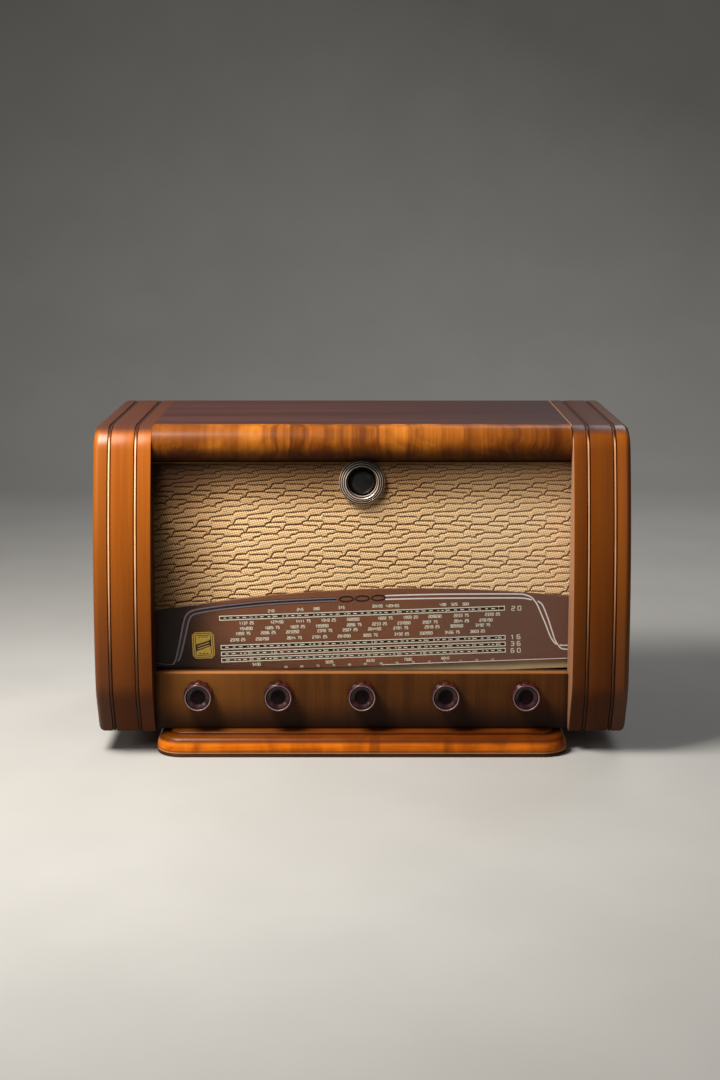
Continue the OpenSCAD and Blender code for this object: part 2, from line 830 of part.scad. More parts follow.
// Shaft with two packs of half-round plates, meshed with the fixed ones at rest
module gang_rotor() {
    color("gainsboro") bar_y([drum_x, drum_y - 1.5, drum_z], gang_y + gang_len + 4 - drum_y + 1.5, 4);
    color("gainsboro") for (s = section_y) for (i = [0 : plate_count - 1]) {
        front_slab(s + i * plate_pitch, plate_t) difference() {
            translate([drum_x, drum_z]) circle(rotor_r);
            translate([drum_x - 40, drum_z + 5]) square([80, 40]);
            translate([drum_x, drum_z]) circle(4);
        }
    }
}

// Light drum with two cord grooves and round windows
module drive_drum() {
    floor_r = drum_r - cord_d / 2 - 0.4;
    rim_r = drum_r + flange_h;
    g1 = pointer_groove_y - drum_y;
    g2 = tuning_groove_y - drum_y;
    half = 1.5;
    color("lightgray") difference() {
        turned_y([drum_x, drum_y, drum_z], [
            [4, 0], [10, 0], [10, 4], [88, 4], [88, 0], [rim_r, 0], [rim_r, g1 - half],
            [floor_r, g1 - half], [floor_r, g1 + half], [rim_r, g1 + half], [rim_r, g2 - half],
            [floor_r, g2 - half], [floor_r, g2 + half], [rim_r, g2 + half], [rim_r, drum_w],
            [88, drum_w], [88, 6], [10, 6], [10, drum_w + 4], [4, drum_w + 4]
        ]);
        for (a = [30 : 60 : 330]) {
            p = [drum_x, drum_z] + 50 * dir(a);
            bar_y([p[0], drum_y + 3, p[1]], 4, 21);
        }
    }
}

// Dished knob with a fine rim and fluted sides, and a blind hole for its shaft
module knob(x) {
    r = knob_d / 2;
    color([0.16, 0.07, 0.07]) translate([x, knob_y, knob_z]) difference() {
        turned_y([0, 0, 0], [
            [0, 4.4], [7.6, 4.2], [8.4, 3.6], [11.8, 1.5], [12.2, 1.9], [12.6, 0.5], [13.1, 0],
            [r - 0.7, 0.1], [r - 0.2, 0.8], [r - 0.2, 2.2], [r - 1.2, 3], [r - 1.2, 3.6], [r + 0.4, 4.4],
            [r + 0.7, 5.4], [r + 0.7, knob_len - 1.6], [r - 0.3, knob_len], [0, knob_len]
        ]);
        for (i = [0 : knob_flutes - 1]) {
            a = 360 * (i + 0.5) / knob_flutes;
            bar_y([(r + 3) * cos(a), 3.3, (r + 3) * sin(a)], knob_len, 3.9);
        }
        bar_y([0, shaft_y - knob_y, 0], knob_len, shaft_r);
    }
}

module volume_knob() {
    knob(knob_x[0]);
}

module tone_knob() {
    knob(knob_x[1]);
}

module tuning_knob() {
    knob(knob_x[2]);
}

module band_knob() {
    knob(knob_x[3]);
}

module bass_knob() {
    knob(knob_x[4]);
}

// Steel shaft from the knob to a point behind the chassis front
module control_shaft(x, len) {
    bar_y([x, shaft_y, knob_z], len, shaft_r);
}

pot_y = chassis_y + sheet_t;
pot_shaft_len = pot_y + 12 - shaft_y;

module volume_shaft() {
    color("silver") control_shaft(knob_x[0], pot_shaft_len);
}

module tone_shaft() {
    color("silver") control_shaft(knob_x[1], pot_shaft_len);
}

module bass_shaft() {
    color("silver") control_shaft(knob_x[4], pot_shaft_len);
}

module tuning_spindle() {
    floor_r = bobbin_r - cord_d / 2 - 0.3;
    bobbin_w = 5;
    color("silver") {
        control_shaft(knob_x[2], chassis_y + 14 - shaft_y);
        turned_y([knob_x[2], tuning_groove_y - bobbin_w / 2, knob_z], [
            [2.5, -1], [7, -1], [7, 0], [floor_r, 0.3], [floor_r, bobbin_w - 0.3], [7, bobbin_w],
            [7, bobbin_w + 1], [2.5, bobbin_w + 1]
        ]);
    }
}

wafer_y = [pot_y + 16, pot_y + 32];

module band_shaft() {
    color("silver") control_shaft(knob_x[3], wafer_y[1] + 6 - shaft_y);
    color("goldenrod") for (y = wafer_y) bar_y([knob_x[3], y, knob_z], 1.6, 8);
}

// Three round pots with threaded bushes and nuts
module potentiometers() {
    color("dimgray") for (i = [0, 1, 4]) difference() {
        union() {
            turned_y([knob_x[i], pot_y, knob_z], [
                [0, 0], [12, 0], [13, 1], [13, 13], [12, 14], [0, 14]
            ]);
            bar_y([knob_x[i], pot_y - 6, knob_z], 7, 5);
            translate([knob_x[i], chassis_y - 2.4, knob_z]) rotate([-90, 0, 0])
                cylinder(h = 2.4, r = 8, $fn = 6);
            translate([knob_x[i] - 8, pot_y + 4, knob_z - 19]) cube([16, 1.5, 10]);
        }
        bar_y([knob_x[i], pot_y - 7, knob_z], 19.5, shaft_r + fit);
    }
}

// Wafer switch: a front plate with its bush, two ring wafers and two tie bars
module band_switch() {
    x = knob_x[3];
    color("peru") difference() {
        for (y = wafer_y) bar_y([x, y, knob_z], 1.6, 21);
        for (y = wafer_y) bar_y([x, y - 1, knob_z], 4, 8.4);
        for (s = [-1, 1]) bar_y([x + 16 * s, pot_y, knob_z], 60, 1.6);
    }
    color("silver") difference() {
        union() {
            translate([x - 20, pot_y, knob_z - 10]) cube([40, 1.5, 20]);
            bar_y([x, pot_y - 6, knob_z], 7, 5);
            translate([x, chassis_y - 2.4, knob_z]) rotate([-90, 0, 0]) cylinder(h = 2.4, r = 8, $fn = 6);
            for (s = [-1, 1]) bar_y([x + 16 * s, pot_y, knob_z], 36, 1.6);
        }
        bar_y([x, pot_y - 7, knob_z], 10, shaft_r + fit);
    }
}

// Laminated core with its winding and mounting feet
module transformer(p, size, coil) {
    translate(p) {
        color("dimgray") difference() {
            translate([-size[0] / 2, -size[1] / 2, 2]) cube([size[0], size[1], size[2] - 2]);
            translate([-size[0] / 2 + 10, -size[1] / 2 - 1, 12]) cube([size[0] / 2 - 18, size[1] + 2, size[2] - 22]);
            translate([8, -size[1] / 2 - 1, 12]) cube([size[0] / 2 - 18, size[1] + 2, size[2] - 22]);
        }
        color("dimgray") for (s = [-1, 1]) difference() {
            translate([s * (size[0] / 2 + 2) - 8, -size[1] / 2, 0]) cube([16, size[1], 2]);
            translate([s * (size[0] / 2 + 5), 0, -1]) cylinder(h = 4, r = 2);
        }
        color("khaki") difference() {
            translate([-size[0] / 2 + 10.2, -size[1] / 2 - coil, 12.2])
                cube([size[0] - 20.4, size[1] + 2 * coil, size[2] - 22.4]);
            translate([-8, -size[1] / 2, 0]) cube([16, size[1], size[2]]);
        }
    }
}

module power_transformer() {
    transformer([182, 22, deck_z], [56, 44, 66], 10);
}

module output_transformer() {
    transformer([-184, 8, deck_z], [42, 24, 36], 7);
}

// Round screening cans with a crimped foot and a trimmer hole
module tuned_cans() {
    color("silver") for (p = can_pos) difference() {
        translate([p[0], p[1], deck_z]) rotate_extrude() polygon([
            [0, 0], [18, 0], [18, 1], [16.5, 2], [16.5, 58], [15, 60], [0, 60]
        ]);
        translate([p[0], p[1], deck_z + 55]) cylinder(h = 6, r = 3);
    }
}

// Glass valve with a metal skirt and a sealed tip
module valve(p, h) {
    translate([p[0], p[1], deck_z + 4.2]) {
        color("silver") rotate_extrude() polygon([[0, 0], [10.6, 0], [11, 1], [11, 9], [10.4, 9], [0, 9]]);
        color("lightsteelblue") rotate_extrude() polygon([
            [0, 9], [10.4, 9], [10.4, h - 9], [8.6, h - 4], [5, h - 1.2], [1.6, h], [1.1, h + 4], [0, h + 5]
        ]);
    }
}

module valves() {
    for (i = [0 : len(valve_pos) - 1]) valve(valve_pos[i], valve_len[i]);
}

module valve_sockets() {
    color("black") for (p = valve_pos) translate([p[0], p[1], deck_z]) rotate_extrude() polygon([
        [0, -8], [8, -8], [10, -6], [10, 0], [14, 0], [14, 2], [12.6, 8], [11.3, 8], [11.3, 4.2], [0, 4.2]
    ]);
}

module filter_can() {
    color("silver") translate([104, apron_back - 30, deck_z]) rotate_extrude() polygon([
        [0, 0], [19, 0], [19, 1.5], [17, 3], [17, 14], [16, 15], [16, 17], [17, 18], [17, 24.5], [16, 26], [0, 26]
    ]);
}

// Two insulating strips with two four-millimetre sockets each: aerial and earth, and pick-up
module socket_strips() {
    z = floor_z + 40;
    color("saddlebrown") for (x = tap_x) difference() {
        union() {
            front_slab(apron_back, 2.5) translate([x - 22, z - 10]) square([44, 20]);
            for (s = [-10, 10]) bar_y([x + s, apron_back - 12, z], 17, 3.6);
        }
        for (s = [-10, 10]) bar_y([x + s, apron_back - 13, z], 20, 2.05);
    }
}

// Round selector with a slotted, castellated cap
module voltage_selector() {
    color("black") translate([120, apron_back, floor_z + 40]) difference() {
        turned_y([0, 0, 0], [[0, 0], [17, 0], [17, 2.5], [11, 3.5], [11, 8], [9.6, 9], [0, 9]]);
        for (a = [0 : 60 : 300]) bar_y([12.4 * cos(a), 3, 12.4 * sin(a)], 8, 2.6);
        translate([-12, 7.4, -1.2]) cube([24, 3, 2.4]);
    }
}

// Rubber ring where the mains lead comes out
module mains_grommet() {
    y = apron_back - sheet_t;
    color("dimgray") turned_y([-140, y, floor_z + 40], [
        [4, -2.4], [8, -2.4], [8, -0.1], [6.1, -0.1], [6.1, sheet_t + 0.1], [8, sheet_t + 0.1],
        [8, sheet_t + 2.4], [5, sheet_t + 3.6], [4, sheet_t + 3.2]
    ]);
}

left_side_panel();
right_side_panel();
left_pillar();
right_pillar();
left_beads();
right_beads();
top_panel();
front_rail();
knob_panel();
bottom_board();
plinth();
plinth_base();
baffle_board();
glass_fillets();
back_cover();
back_screws();
speaker_cloth();
eye_bezel();
magic_eye_tube();
eye_collar();
dial_glass();
dial_backing();
light_shield();
dial_lamps();
pointer();
pointer_rail();
left_pulley();
right_pulley();
drive_cords();
speaker_frame();
speaker_magnet();
speaker_cone();
mounting_bolts();
chassis();
gang_frame();
gang_stator();
gang_rotor();
drive_drum();
volume_knob();
tone_knob();
tuning_knob();
band_knob();
bass_knob();
volume_shaft();
tone_shaft();
tuning_spindle();
band_shaft();
bass_shaft();
potentiometers();
band_switch();
power_transformer();
output_transformer();
tuned_cans();
valves();
valve_sockets();
filter_can();
socket_strips();
voltage_selector();
mains_grommet();
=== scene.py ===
# Table radio: finer visible pieces and finishes around its CAD frame.

import json
import math

import bmesh
import bpy
import numpy as np
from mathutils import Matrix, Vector


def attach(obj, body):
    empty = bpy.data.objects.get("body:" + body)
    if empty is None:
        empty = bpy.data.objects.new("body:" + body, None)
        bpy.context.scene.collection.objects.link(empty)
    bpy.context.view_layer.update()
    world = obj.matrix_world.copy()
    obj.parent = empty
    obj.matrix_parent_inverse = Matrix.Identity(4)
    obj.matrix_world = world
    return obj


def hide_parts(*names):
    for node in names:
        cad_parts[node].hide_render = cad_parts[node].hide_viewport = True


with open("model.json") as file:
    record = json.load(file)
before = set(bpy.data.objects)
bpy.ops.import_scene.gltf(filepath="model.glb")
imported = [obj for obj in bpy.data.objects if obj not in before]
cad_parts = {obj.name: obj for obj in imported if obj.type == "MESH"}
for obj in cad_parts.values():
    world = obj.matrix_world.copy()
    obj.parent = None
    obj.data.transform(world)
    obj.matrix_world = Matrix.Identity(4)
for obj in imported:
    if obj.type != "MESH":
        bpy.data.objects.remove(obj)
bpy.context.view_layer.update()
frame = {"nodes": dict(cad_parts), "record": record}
scene = bpy.context.scene

MM = 0.001

# The values below repeat part.scad's, in millimetres: x to the right, y to the back, z up from the floor.
FRONT = -142.5
BACK = 142.5
BODY_Z = 23.0
TOP_Z = 346.0
OUT_X = 280.0
SIDE_X = OUT_X - 14.9
OPEN_X = SIDE_X - 45.8
EDGE_R = 7.0

# Profile of the front: a crown, a wide bow and a toe, each with its radius and its centre as (y, z).
FRONT_R = 760.0
CROWN_R = 32.0
TOE_R = 60.0
BOW = (FRONT + FRONT_R, BODY_Z + 83.0)
CROWN_RISE = TOP_Z - CROWN_R - BOW[1]
CROWN = (BOW[0] - math.sqrt((FRONT_R - CROWN_R) ** 2 - CROWN_RISE ** 2), BOW[1] + CROWN_RISE)
CROWN_A = 180 - math.degrees(math.asin(CROWN_RISE / (FRONT_R - CROWN_R)))
TOE_A = 182.0
CUT_A = 205.0
TOE = (
    BOW[0] + (FRONT_R - TOE_R) * math.cos(math.radians(TOE_A)),
    BOW[1] + (FRONT_R - TOE_R) * math.sin(math.radians(TOE_A)),
)

# Pillars: back of the post, underside of the strip on top, and the two grooves.
POST = FRONT + 41.0
STRIP_Z = TOP_Z - 14.0
GROOVE_HALF = 2.1
GROOVE_DEEP = 2.0
GROOVES = (OPEN_X + 16.2, SIDE_X - GROOVE_HALF)

# Dial, in axes of its own that are tilted about its middle, and the baffle and cloth behind it.
TILT = math.radians(2.1)
DIAL_MID = 125.0
ARCH_R = 1568.0
ARCH_TOP = 47.2
GLASS_Y = POST + 0.4
GLASS_T = 2.8
SLOT_HALF, SLOT_END = 1.2, 151.0
BAFFLE_Y = FRONT + 49.2
CLOTH_Y = BAFFLE_Y - 1.2
CLOTH_X = OPEN_X + 2.5

# Rail, eye, knob panel and knobs.
RAIL_R = 19.2
RAIL_SET = 55.0
RAIL_LOW = TOP_Z - 2 * RAIL_R
EYE = (0.0, 287.0)
EYE_R = 24.0
PANEL_Y = FRONT + 29.0
PANEL_TOP = BODY_Z + 62.0
KNOBS = (-173.3, -88.5, 0.0, 88.5, 173.3)
KNOB_Y = PANEL_Y - 19.5
KNOB_Z = BODY_Z + 39.0


# Camera and light

# Lamps in metres and watts: name, place, aim, size, power and tint.
LAMPS = (
    ("key", (-0.50, -0.385, 1.05), (-0.02, -0.1, 0.2), (0.44, 0.44), 23.4, (1, 0.97, 0.92)),
    ("fill", (1.3, -2.0, 0.9), (0, 0, 0.15), (1.2, 1.0), 2.5, (1, 0.98, 0.95)),
    ("edge", (-1.35, -1.0, 0.80), (-0.1, -0.15, 0.1), (0.32, 0.50), 3.6, (1, 0.95, 0.93)),
    ("rear", (0.7, 1.25, 1.75), (0, 0.1, 0.18), (1.0, 0.8), 13, (0.96, 0.98, 1)),
)
CAMERA_PLACE = (-0.0021, -1.9645, 0.583)
CAMERA_PITCH = 10.85


def set_camera():
    """Upright picture of the front, looking down a little."""
    data = bpy.data.cameras.new("camera")
    data.lens = 60
    data.sensor_fit = "VERTICAL"
    data.sensor_height = 36
    data.clip_start = 0.05
    cam = bpy.data.objects.new("camera", data)
    scene.collection.objects.link(cam)
    cam.location = CAMERA_PLACE
    cam.rotation_euler = (math.radians(90 - CAMERA_PITCH), 0, 0)
    scene.camera = cam
    scene.render.resolution_x = 720
    scene.render.resolution_y = 1080


def area_light(name, place, target, size, power, tint):
    """Soft lamp that the camera doesn't see."""
    data = bpy.data.lights.new(name, "AREA")
    data.shape = "RECTANGLE"
    data.size, data.size_y = size
    data.energy = power
    data.color = tint
    lamp = bpy.data.objects.new(name, data)
    scene.collection.objects.link(lamp)
    lamp.visible_camera = False
    lamp.location = place
    aim = Vector(target) - Vector(place)
    lamp.rotation_euler = aim.to_track_quat("-Z", "Y").to_euler()


def set_light():
    """Key lamp from the upper left, weak fill, edge and rear lamps, and a dim world."""
    for lamp in LAMPS:
        area_light(*lamp)
    world = bpy.data.worlds.new("studio")
    world.use_nodes = True
    back = world.node_tree.nodes["Background"]
    back.inputs["Color"].default_value = (0.82, 0.80, 0.78, 1)
    back.inputs["Strength"].default_value = 0.10
    scene.world = world
    scene.view_settings.view_transform = "Standard"


# Shader arithmetic

def srgb(r, g, b):
    """Colour given as 0-255 screen values, as linear light."""
    out = []
    for v in (r, g, b):
        v /= 255.0
        out.append(v / 12.92 if v <= 0.04045 else ((v + 0.055) / 1.055) ** 2.4)
    return (*out, 1.0)


class Sig:
    """A value in a material's node tree. Arithmetic on it adds Math nodes."""

    def __init__(self, net, socket):
        self.net, self.socket = net, socket

    def op(self, kind, *others, clamp=False):
        return self.net.node("ShaderNodeMath", (self, *others), operation=kind, use_clamp=clamp)

    def __add__(self, o):
        return self.op("ADD", o)

    __radd__ = __add__

    def __mul__(self, o):
        return self.op("MULTIPLY", o)

    __rmul__ = __mul__

    def __sub__(self, o):
        return self.op("SUBTRACT", o)

    def __rsub__(self, o):
        return (self * -1.0) + o

    def power(self, o):
        return self.op("POWER", o)

    def sin(self):
        return self.op("SINE")

    def abs(self):
        return self.op("ABSOLUTE")

    def clip(self):
        return self.op("ADD", 0.0, clamp=True)

    def ramp(self, low, high):
        """0 at low, 1 at high, smooth between."""
        return self.net.node(
            "ShaderNodeMapRange", (self, low, high, 0.0, 1.0), interpolation_type="SMOOTHSTEP"
        )


class Net:
    """One material's node tree."""

    def __init__(self, name):
        self.mat = bpy.data.materials.new(name)
        self.mat.use_nodes = True
        self.tree = self.mat.node_tree
        self.bsdf = self.tree.nodes["Principled BSDF"]

    def node(self, kind, inputs=(), out=0, stops=(), **settings):
        """Adds a node: its settings and its ramp's stops, then the values or links of its sockets."""
        n = self.tree.nodes.new(kind)
        for key, value in settings.items():
            setattr(n, key, value)
        if stops:
            band = n.color_ramp.elements
            while len(band) < len(stops):
                band.new(0.5)
            for e, (at, colour) in zip(band, stops):
                e.position, e.color = at, colour
        pairs = inputs.items() if isinstance(inputs, dict) else enumerate(inputs)
        for key, value in pairs:
            self.plug(value, n.inputs[key])
        return Sig(self, n.outputs[out])

    def plug(self, value, socket):
        if isinstance(value, Sig):
            self.tree.links.new(value.socket, socket)
        else:
            socket.default_value = value

    def place(self):
        """x, y and z in the radio's own axes, in metres."""
        spot = self.node("ShaderNodeTexCoord", out="Object")
        split = self.node("ShaderNodeSeparateXYZ", (spot,)).socket.node
        return [Sig(self, socket) for socket in split.outputs]

    def noise(self, spot, scale=1.0, detail=2.0, rough=0.5, warp=0.0):
        """Noise at a spot (x, y, z). Larger factors on one axis make it finer that way."""
        vec = self.node("ShaderNodeCombineXYZ", spot)
        return self.node(
            "ShaderNodeTexNoise",
            {"Vector": vec, "Scale": scale, "Detail": detail, "Roughness": rough, "Distortion": warp},
        )

    def mix(self, amount, a, b, blend="MIX"):
        """Colour that goes from a to b by amount."""
        return self.node("ShaderNodeMix", {0: amount, 6: a, 7: b}, out=2, data_type="RGBA", blend_type=blend)

    def colours(self, amount, *stops):
        """Colour by amount: stops are (place, colour)."""
        return self.node("ShaderNodeValToRGB", (amount,), stops=stops)

    def bump(self, height, strength, depth=0.001):
        return self.node("ShaderNodeBump", {"Height": height, "Strength": strength, "Distance": depth})

    def finish(self, **values):
        """Plugs values into the shader: base_color, roughness, coat_weight and so on."""
        for key, value in values.items():
            label = key.replace("_", " ").title().replace("Ior", "IOR")
            self.plug(value, self.bsdf.inputs[label])
        return self.mat


# Woods

PILLAR = (srgb(136, 68, 12), srgb(156, 82, 18), srgb(170, 94, 25))
# Painted shade: a darker copy of the walnut for the top, which the light only grazes.
SHADED_TOP = (srgb(52, 29, 26), srgb(64, 38, 34), srgb(76, 47, 43))
PANEL = (srgb(62, 34, 10), srgb(94, 54, 20), srgb(118, 70, 28))
PLINTH = (srgb(132, 58, 8), srgb(238, 120, 20), srgb(250, 156, 44))
BASE = (srgb(50, 28, 14), srgb(78, 46, 24), srgb(108, 68, 38))
STAINED = (srgb(24, 13, 8), srgb(38, 22, 14), srgb(52, 32, 20))
PLY = (srgb(128, 92, 54), srgb(168, 130, 84), srgb(196, 160, 112))

# Painted light and shade: each entry is an axis, the places in metres where it starts and is full, its amount
# and its colour.
# Along "-x" it grows to the left, and along "xx" both ways from the middle.
# Painted shade: pillars, sides and beads darker towards the foot.
FOOT_SHADE = ("z", 0.27, 0.03, 0.60, srgb(66, 36, 24))
# Painted shade: the top faces of the pillars, sides and beads as dark as the top.
CROWN_SHADE = ("z", 0.336, 0.344, 0.88, srgb(54, 34, 32))
SHADE_SIDE = ("x", 0.10, 0.22, 0.48, srgb(88, 40, 4))
# The pillars' painted shade: towards the foot, on the right pillar and on the top faces.
PILLAR_SHADES = (FOOT_SHADE, SHADE_SIDE, CROWN_SHADE)
# The sides' painted shade: the left side a little darker, towards the foot and on the top faces.
SIDE_SHADES = (("-x", 0.15, 0.26, 0.2, srgb(92, 42, 4)), FOOT_SHADE, CROWN_SHADE)
# Painted shade: the top darker towards the right.
TOP_SHADES = (("x", 0.02, 0.24, 0.40, srgb(34, 22, 27)),)
# Knob panel, painted light and shade: lighter at the left, darker towards the bottom, at its ends by the
# pillars and at the back of the ledge, and a painted highlight on its rounded upper edge.
PANEL_LIGHT_AND_SHADE = (
    ("-x", 0.07, 0.195, 0.6, srgb(172, 108, 48)),
    ("z", 0.061, 0.026, 0.9, srgb(26, 9, 4)),
    ("xx", 0.213, 0.2190, 0.7, srgb(20, 9, 4)),
    ("z", 0.0828, 0.0842, 0.30, srgb(200, 130, 74)),
    ("y", -0.1085, -0.1055, 0.8, srgb(40, 20, 8)),
)
# Plinth, painted light and shade: the upper part darker, a painted highlight along the lip and painted shade
# below it.
PLINTH_LIGHT_AND_SHADE = (
    ("z", 0.0130, 0.0170, 0.9, srgb(76, 32, 5)),
    ("z", 0.0062, 0.0052, 0.5, srgb(240, 186, 128)),
    ("z", 0.0040, 0.0036, 0.8, srgb(50, 26, 12)),
)


def pillar_marks(net, x, streak, colour):
    """The dark grooves, painted shade on the faces towards the front's opening and a painted highlight along
    the right pillar's edge there.
    """
    for g in GROOVES:
        reach = (x.abs() - g * MM).abs()
        colour = net.mix(1.0 - reach.ramp(0.0016, 0.0020), colour, srgb(40, 16, 6))
    face = OPEN_X * MM
    # Painted shade on the faces towards the opening: near black on the left pillar, dark brown on the right.
    inner = 1.0 - x.abs().ramp(face + 0.00005, face + 0.0002)
    right = x.ramp(-0.01, 0.01)
    colour = net.mix(inner * 0.85, colour, net.mix(right, srgb(20, 9, 6), srgb(66, 36, 22)))
    # Painted highlight along the right pillar's front edge at the opening, broken by the streaks.
    edge_highlight = (1.0 - (x - (face + 0.0004)).abs().ramp(0.0004, 0.0009)) * streak.ramp(0.3, 0.6)
    return net.mix(edge_highlight * 0.45, colour, srgb(206, 150, 112))


def wood(name, dark, mid, light, grain="wrap", figure=0.0, rough=0.30, coat=0.3, wide=1.0,
         grooves=False, painted_light_and_shade=()):
    """Lacquered veneer: fine fibres and pores along the grain, wider streaks and cross figure, with painted
    light and shade from a table, and for the pillars their grooves with painted shade and a painted
    highlight.
    """
    net = Net(name)
    x, y, z = net.place()
    if grain == "wrap":
        along, across, deep = z - y, x, x * 0.3
    elif grain == "x":
        along, across, deep = x, z + y * 0.7, y - z * 0.4
    else:
        along, across, deep = z, x + y * 0.8, y - x * 0.3
    fibre = net.noise((across * 900.0, deep * 300.0, along * 14.0), detail=3.0, rough=0.6)
    streak = net.noise((across * 170.0 * wide, deep * 80.0, along * 3.0), detail=3.0, warp=0.2)
    broad = net.noise((across * 30.0 * wide, deep * 25.0, along * 2.6), detail=2.0, warp=0.6)
    pore = net.noise((across * 1500.0, deep * 700.0, along * 45.0), detail=1.0)
    tone = fibre * 0.22 + streak * 0.26 + broad * 0.56 - 0.02
    if figure:
        curl = net.noise((along * 26.0, across * 8.0, deep * 8.0), detail=3.0, warp=1.2)
        tone = tone + (curl - 0.5) * figure
    colour = net.colours(tone.ramp(0.26, 0.80), (0.0, dark), (0.5, mid), (1.0, light))
    colour = net.mix(pore.ramp(0.60, 0.76) * 0.3, colour, dark)
    axes = {"x": x, "y": y, "z": z, "-x": x * -1.0, "xx": x.abs()}
    for axis, start, full, amount, painted_colour in painted_light_and_shade:
        colour = net.mix(axes[axis].ramp(start, full) * amount, colour, painted_colour)
    if grooves:
        colour = pillar_marks(net, x, streak, colour)
    height = fibre * 0.5 + pore.ramp(0.58, 0.72) * -0.6
    return net.finish(
        base_color=colour,
        roughness=fibre * 0.14 + (rough - 0.07),
        specular_ior_level=0.12,
        coat_weight=coat,
        coat_roughness=0.26,
        normal=net.bump(height, 0.10, 0.0002),
    )


def bead_wood():
    """Inlaid bead: a painted highlight along its crest, with painted shade on the right pillar, towards the
    foot and on the top, and its sides coloured like the pillar beside it, with the pillar's painted shade.
    """
    net = Net("bead_painted_highlight")
    x, y, z = net.place()
    fibre = net.noise((x * 900.0, y * 60.0, z * 40.0), detail=2.0)
    crest = 0.0
    for g in GROOVES:
        crest = (1.0 - (x.abs() - g * MM).abs().ramp(0.0003, 0.0009)) + crest
    # Painted highlight: the crest cream, then painted shade on it, darker on the right pillar, towards the
    # foot and on the top.
    pale = net.mix(fibre.ramp(0.3, 0.7), srgb(238, 182, 128), srgb(254, 214, 168))
    pale = net.mix(x.ramp(0.15, 0.25) * 0.35, pale, srgb(178, 100, 60))
    pale = net.mix(z.ramp(0.225, 0.085) * 0.94, pale, srgb(34, 10, 8))
    pale = net.mix(z.ramp(0.328, 0.338), pale, srgb(34, 20, 17))
    side = net.mix(fibre.ramp(0.3, 0.7), srgb(134, 68, 14), srgb(156, 82, 20))
    for axis, start, full, amount, painted_colour in (FOOT_SHADE, CROWN_SHADE):
        side = net.mix(z.ramp(start, full) * amount, side, painted_colour)
    return net.finish(
        base_color=net.mix(crest, side, pale), roughness=fibre * 0.14 + 0.33, specular_ior_level=0.12,
        coat_weight=0.1, coat_roughness=0.26,
    )


def rail_wood():
    """Figured veneer laid across the rail, so that its bands run round it."""
    net = Net("rail_walnut")
    x, y, z = net.place()
    turn = z - y
    sway = net.noise((x * 9.0, turn * 16.0, 0.0), detail=2.0, warp=0.6)
    band = net.noise((x * 34.0 + sway * 1.8, turn * 3.0, 0.0), detail=3.0, rough=0.6)
    line = net.noise((x * 170.0 + sway * 5.0, turn * 9.0, 5.0), detail=3.0, rough=0.6)
    wide = net.noise((x * 7.0 + sway * 0.6, turn * 3.0, 4.0), detail=1.0)
    vein = net.noise((x * 90.0 + sway * 4.0, turn * 7.0, 9.0), detail=2.0, rough=0.6)
    fibre = net.noise((x * 700.0, turn * 24.0, 0.0), detail=3.0, rough=0.6)
    curl = net.noise((x * 26.0, turn * 40.0, 3.0), detail=2.0, warp=2.0)
    tone = band * 0.52 + wide * 0.42 + line * 0.30 + fibre * 0.14 + (curl - 0.5) * 0.24 - 0.20
    colour = net.colours(
        tone.ramp(0.28, 0.74),
        (0.0, srgb(84, 40, 8)),
        (0.35, srgb(122, 64, 14)),
        (0.7, srgb(156, 88, 22)),
        (1.0, srgb(188, 114, 36)),
    )
    colour = net.mix(vein.ramp(0.56, 0.68) * 0.6, colour, srgb(80, 38, 12))
    # Painted shade: darker towards the underside, and at the upper left.
    colour = net.mix(z.ramp(0.324, 0.309) * 0.6, colour, srgb(20, 9, 5))
    colour = net.mix(x.ramp(-0.06, -0.17) * z.ramp(0.322, 0.336) * 0.6, colour, srgb(104, 54, 18))
    return net.finish(
        base_color=colour, roughness=fibre * 0.12 + 0.34, specular_ior_level=0.10, coat_weight=0.06,
        coat_roughness=0.26, normal=net.bump(fibre, 0.06, 0.0002),
    )


# Cloth, dial, metal and plastics

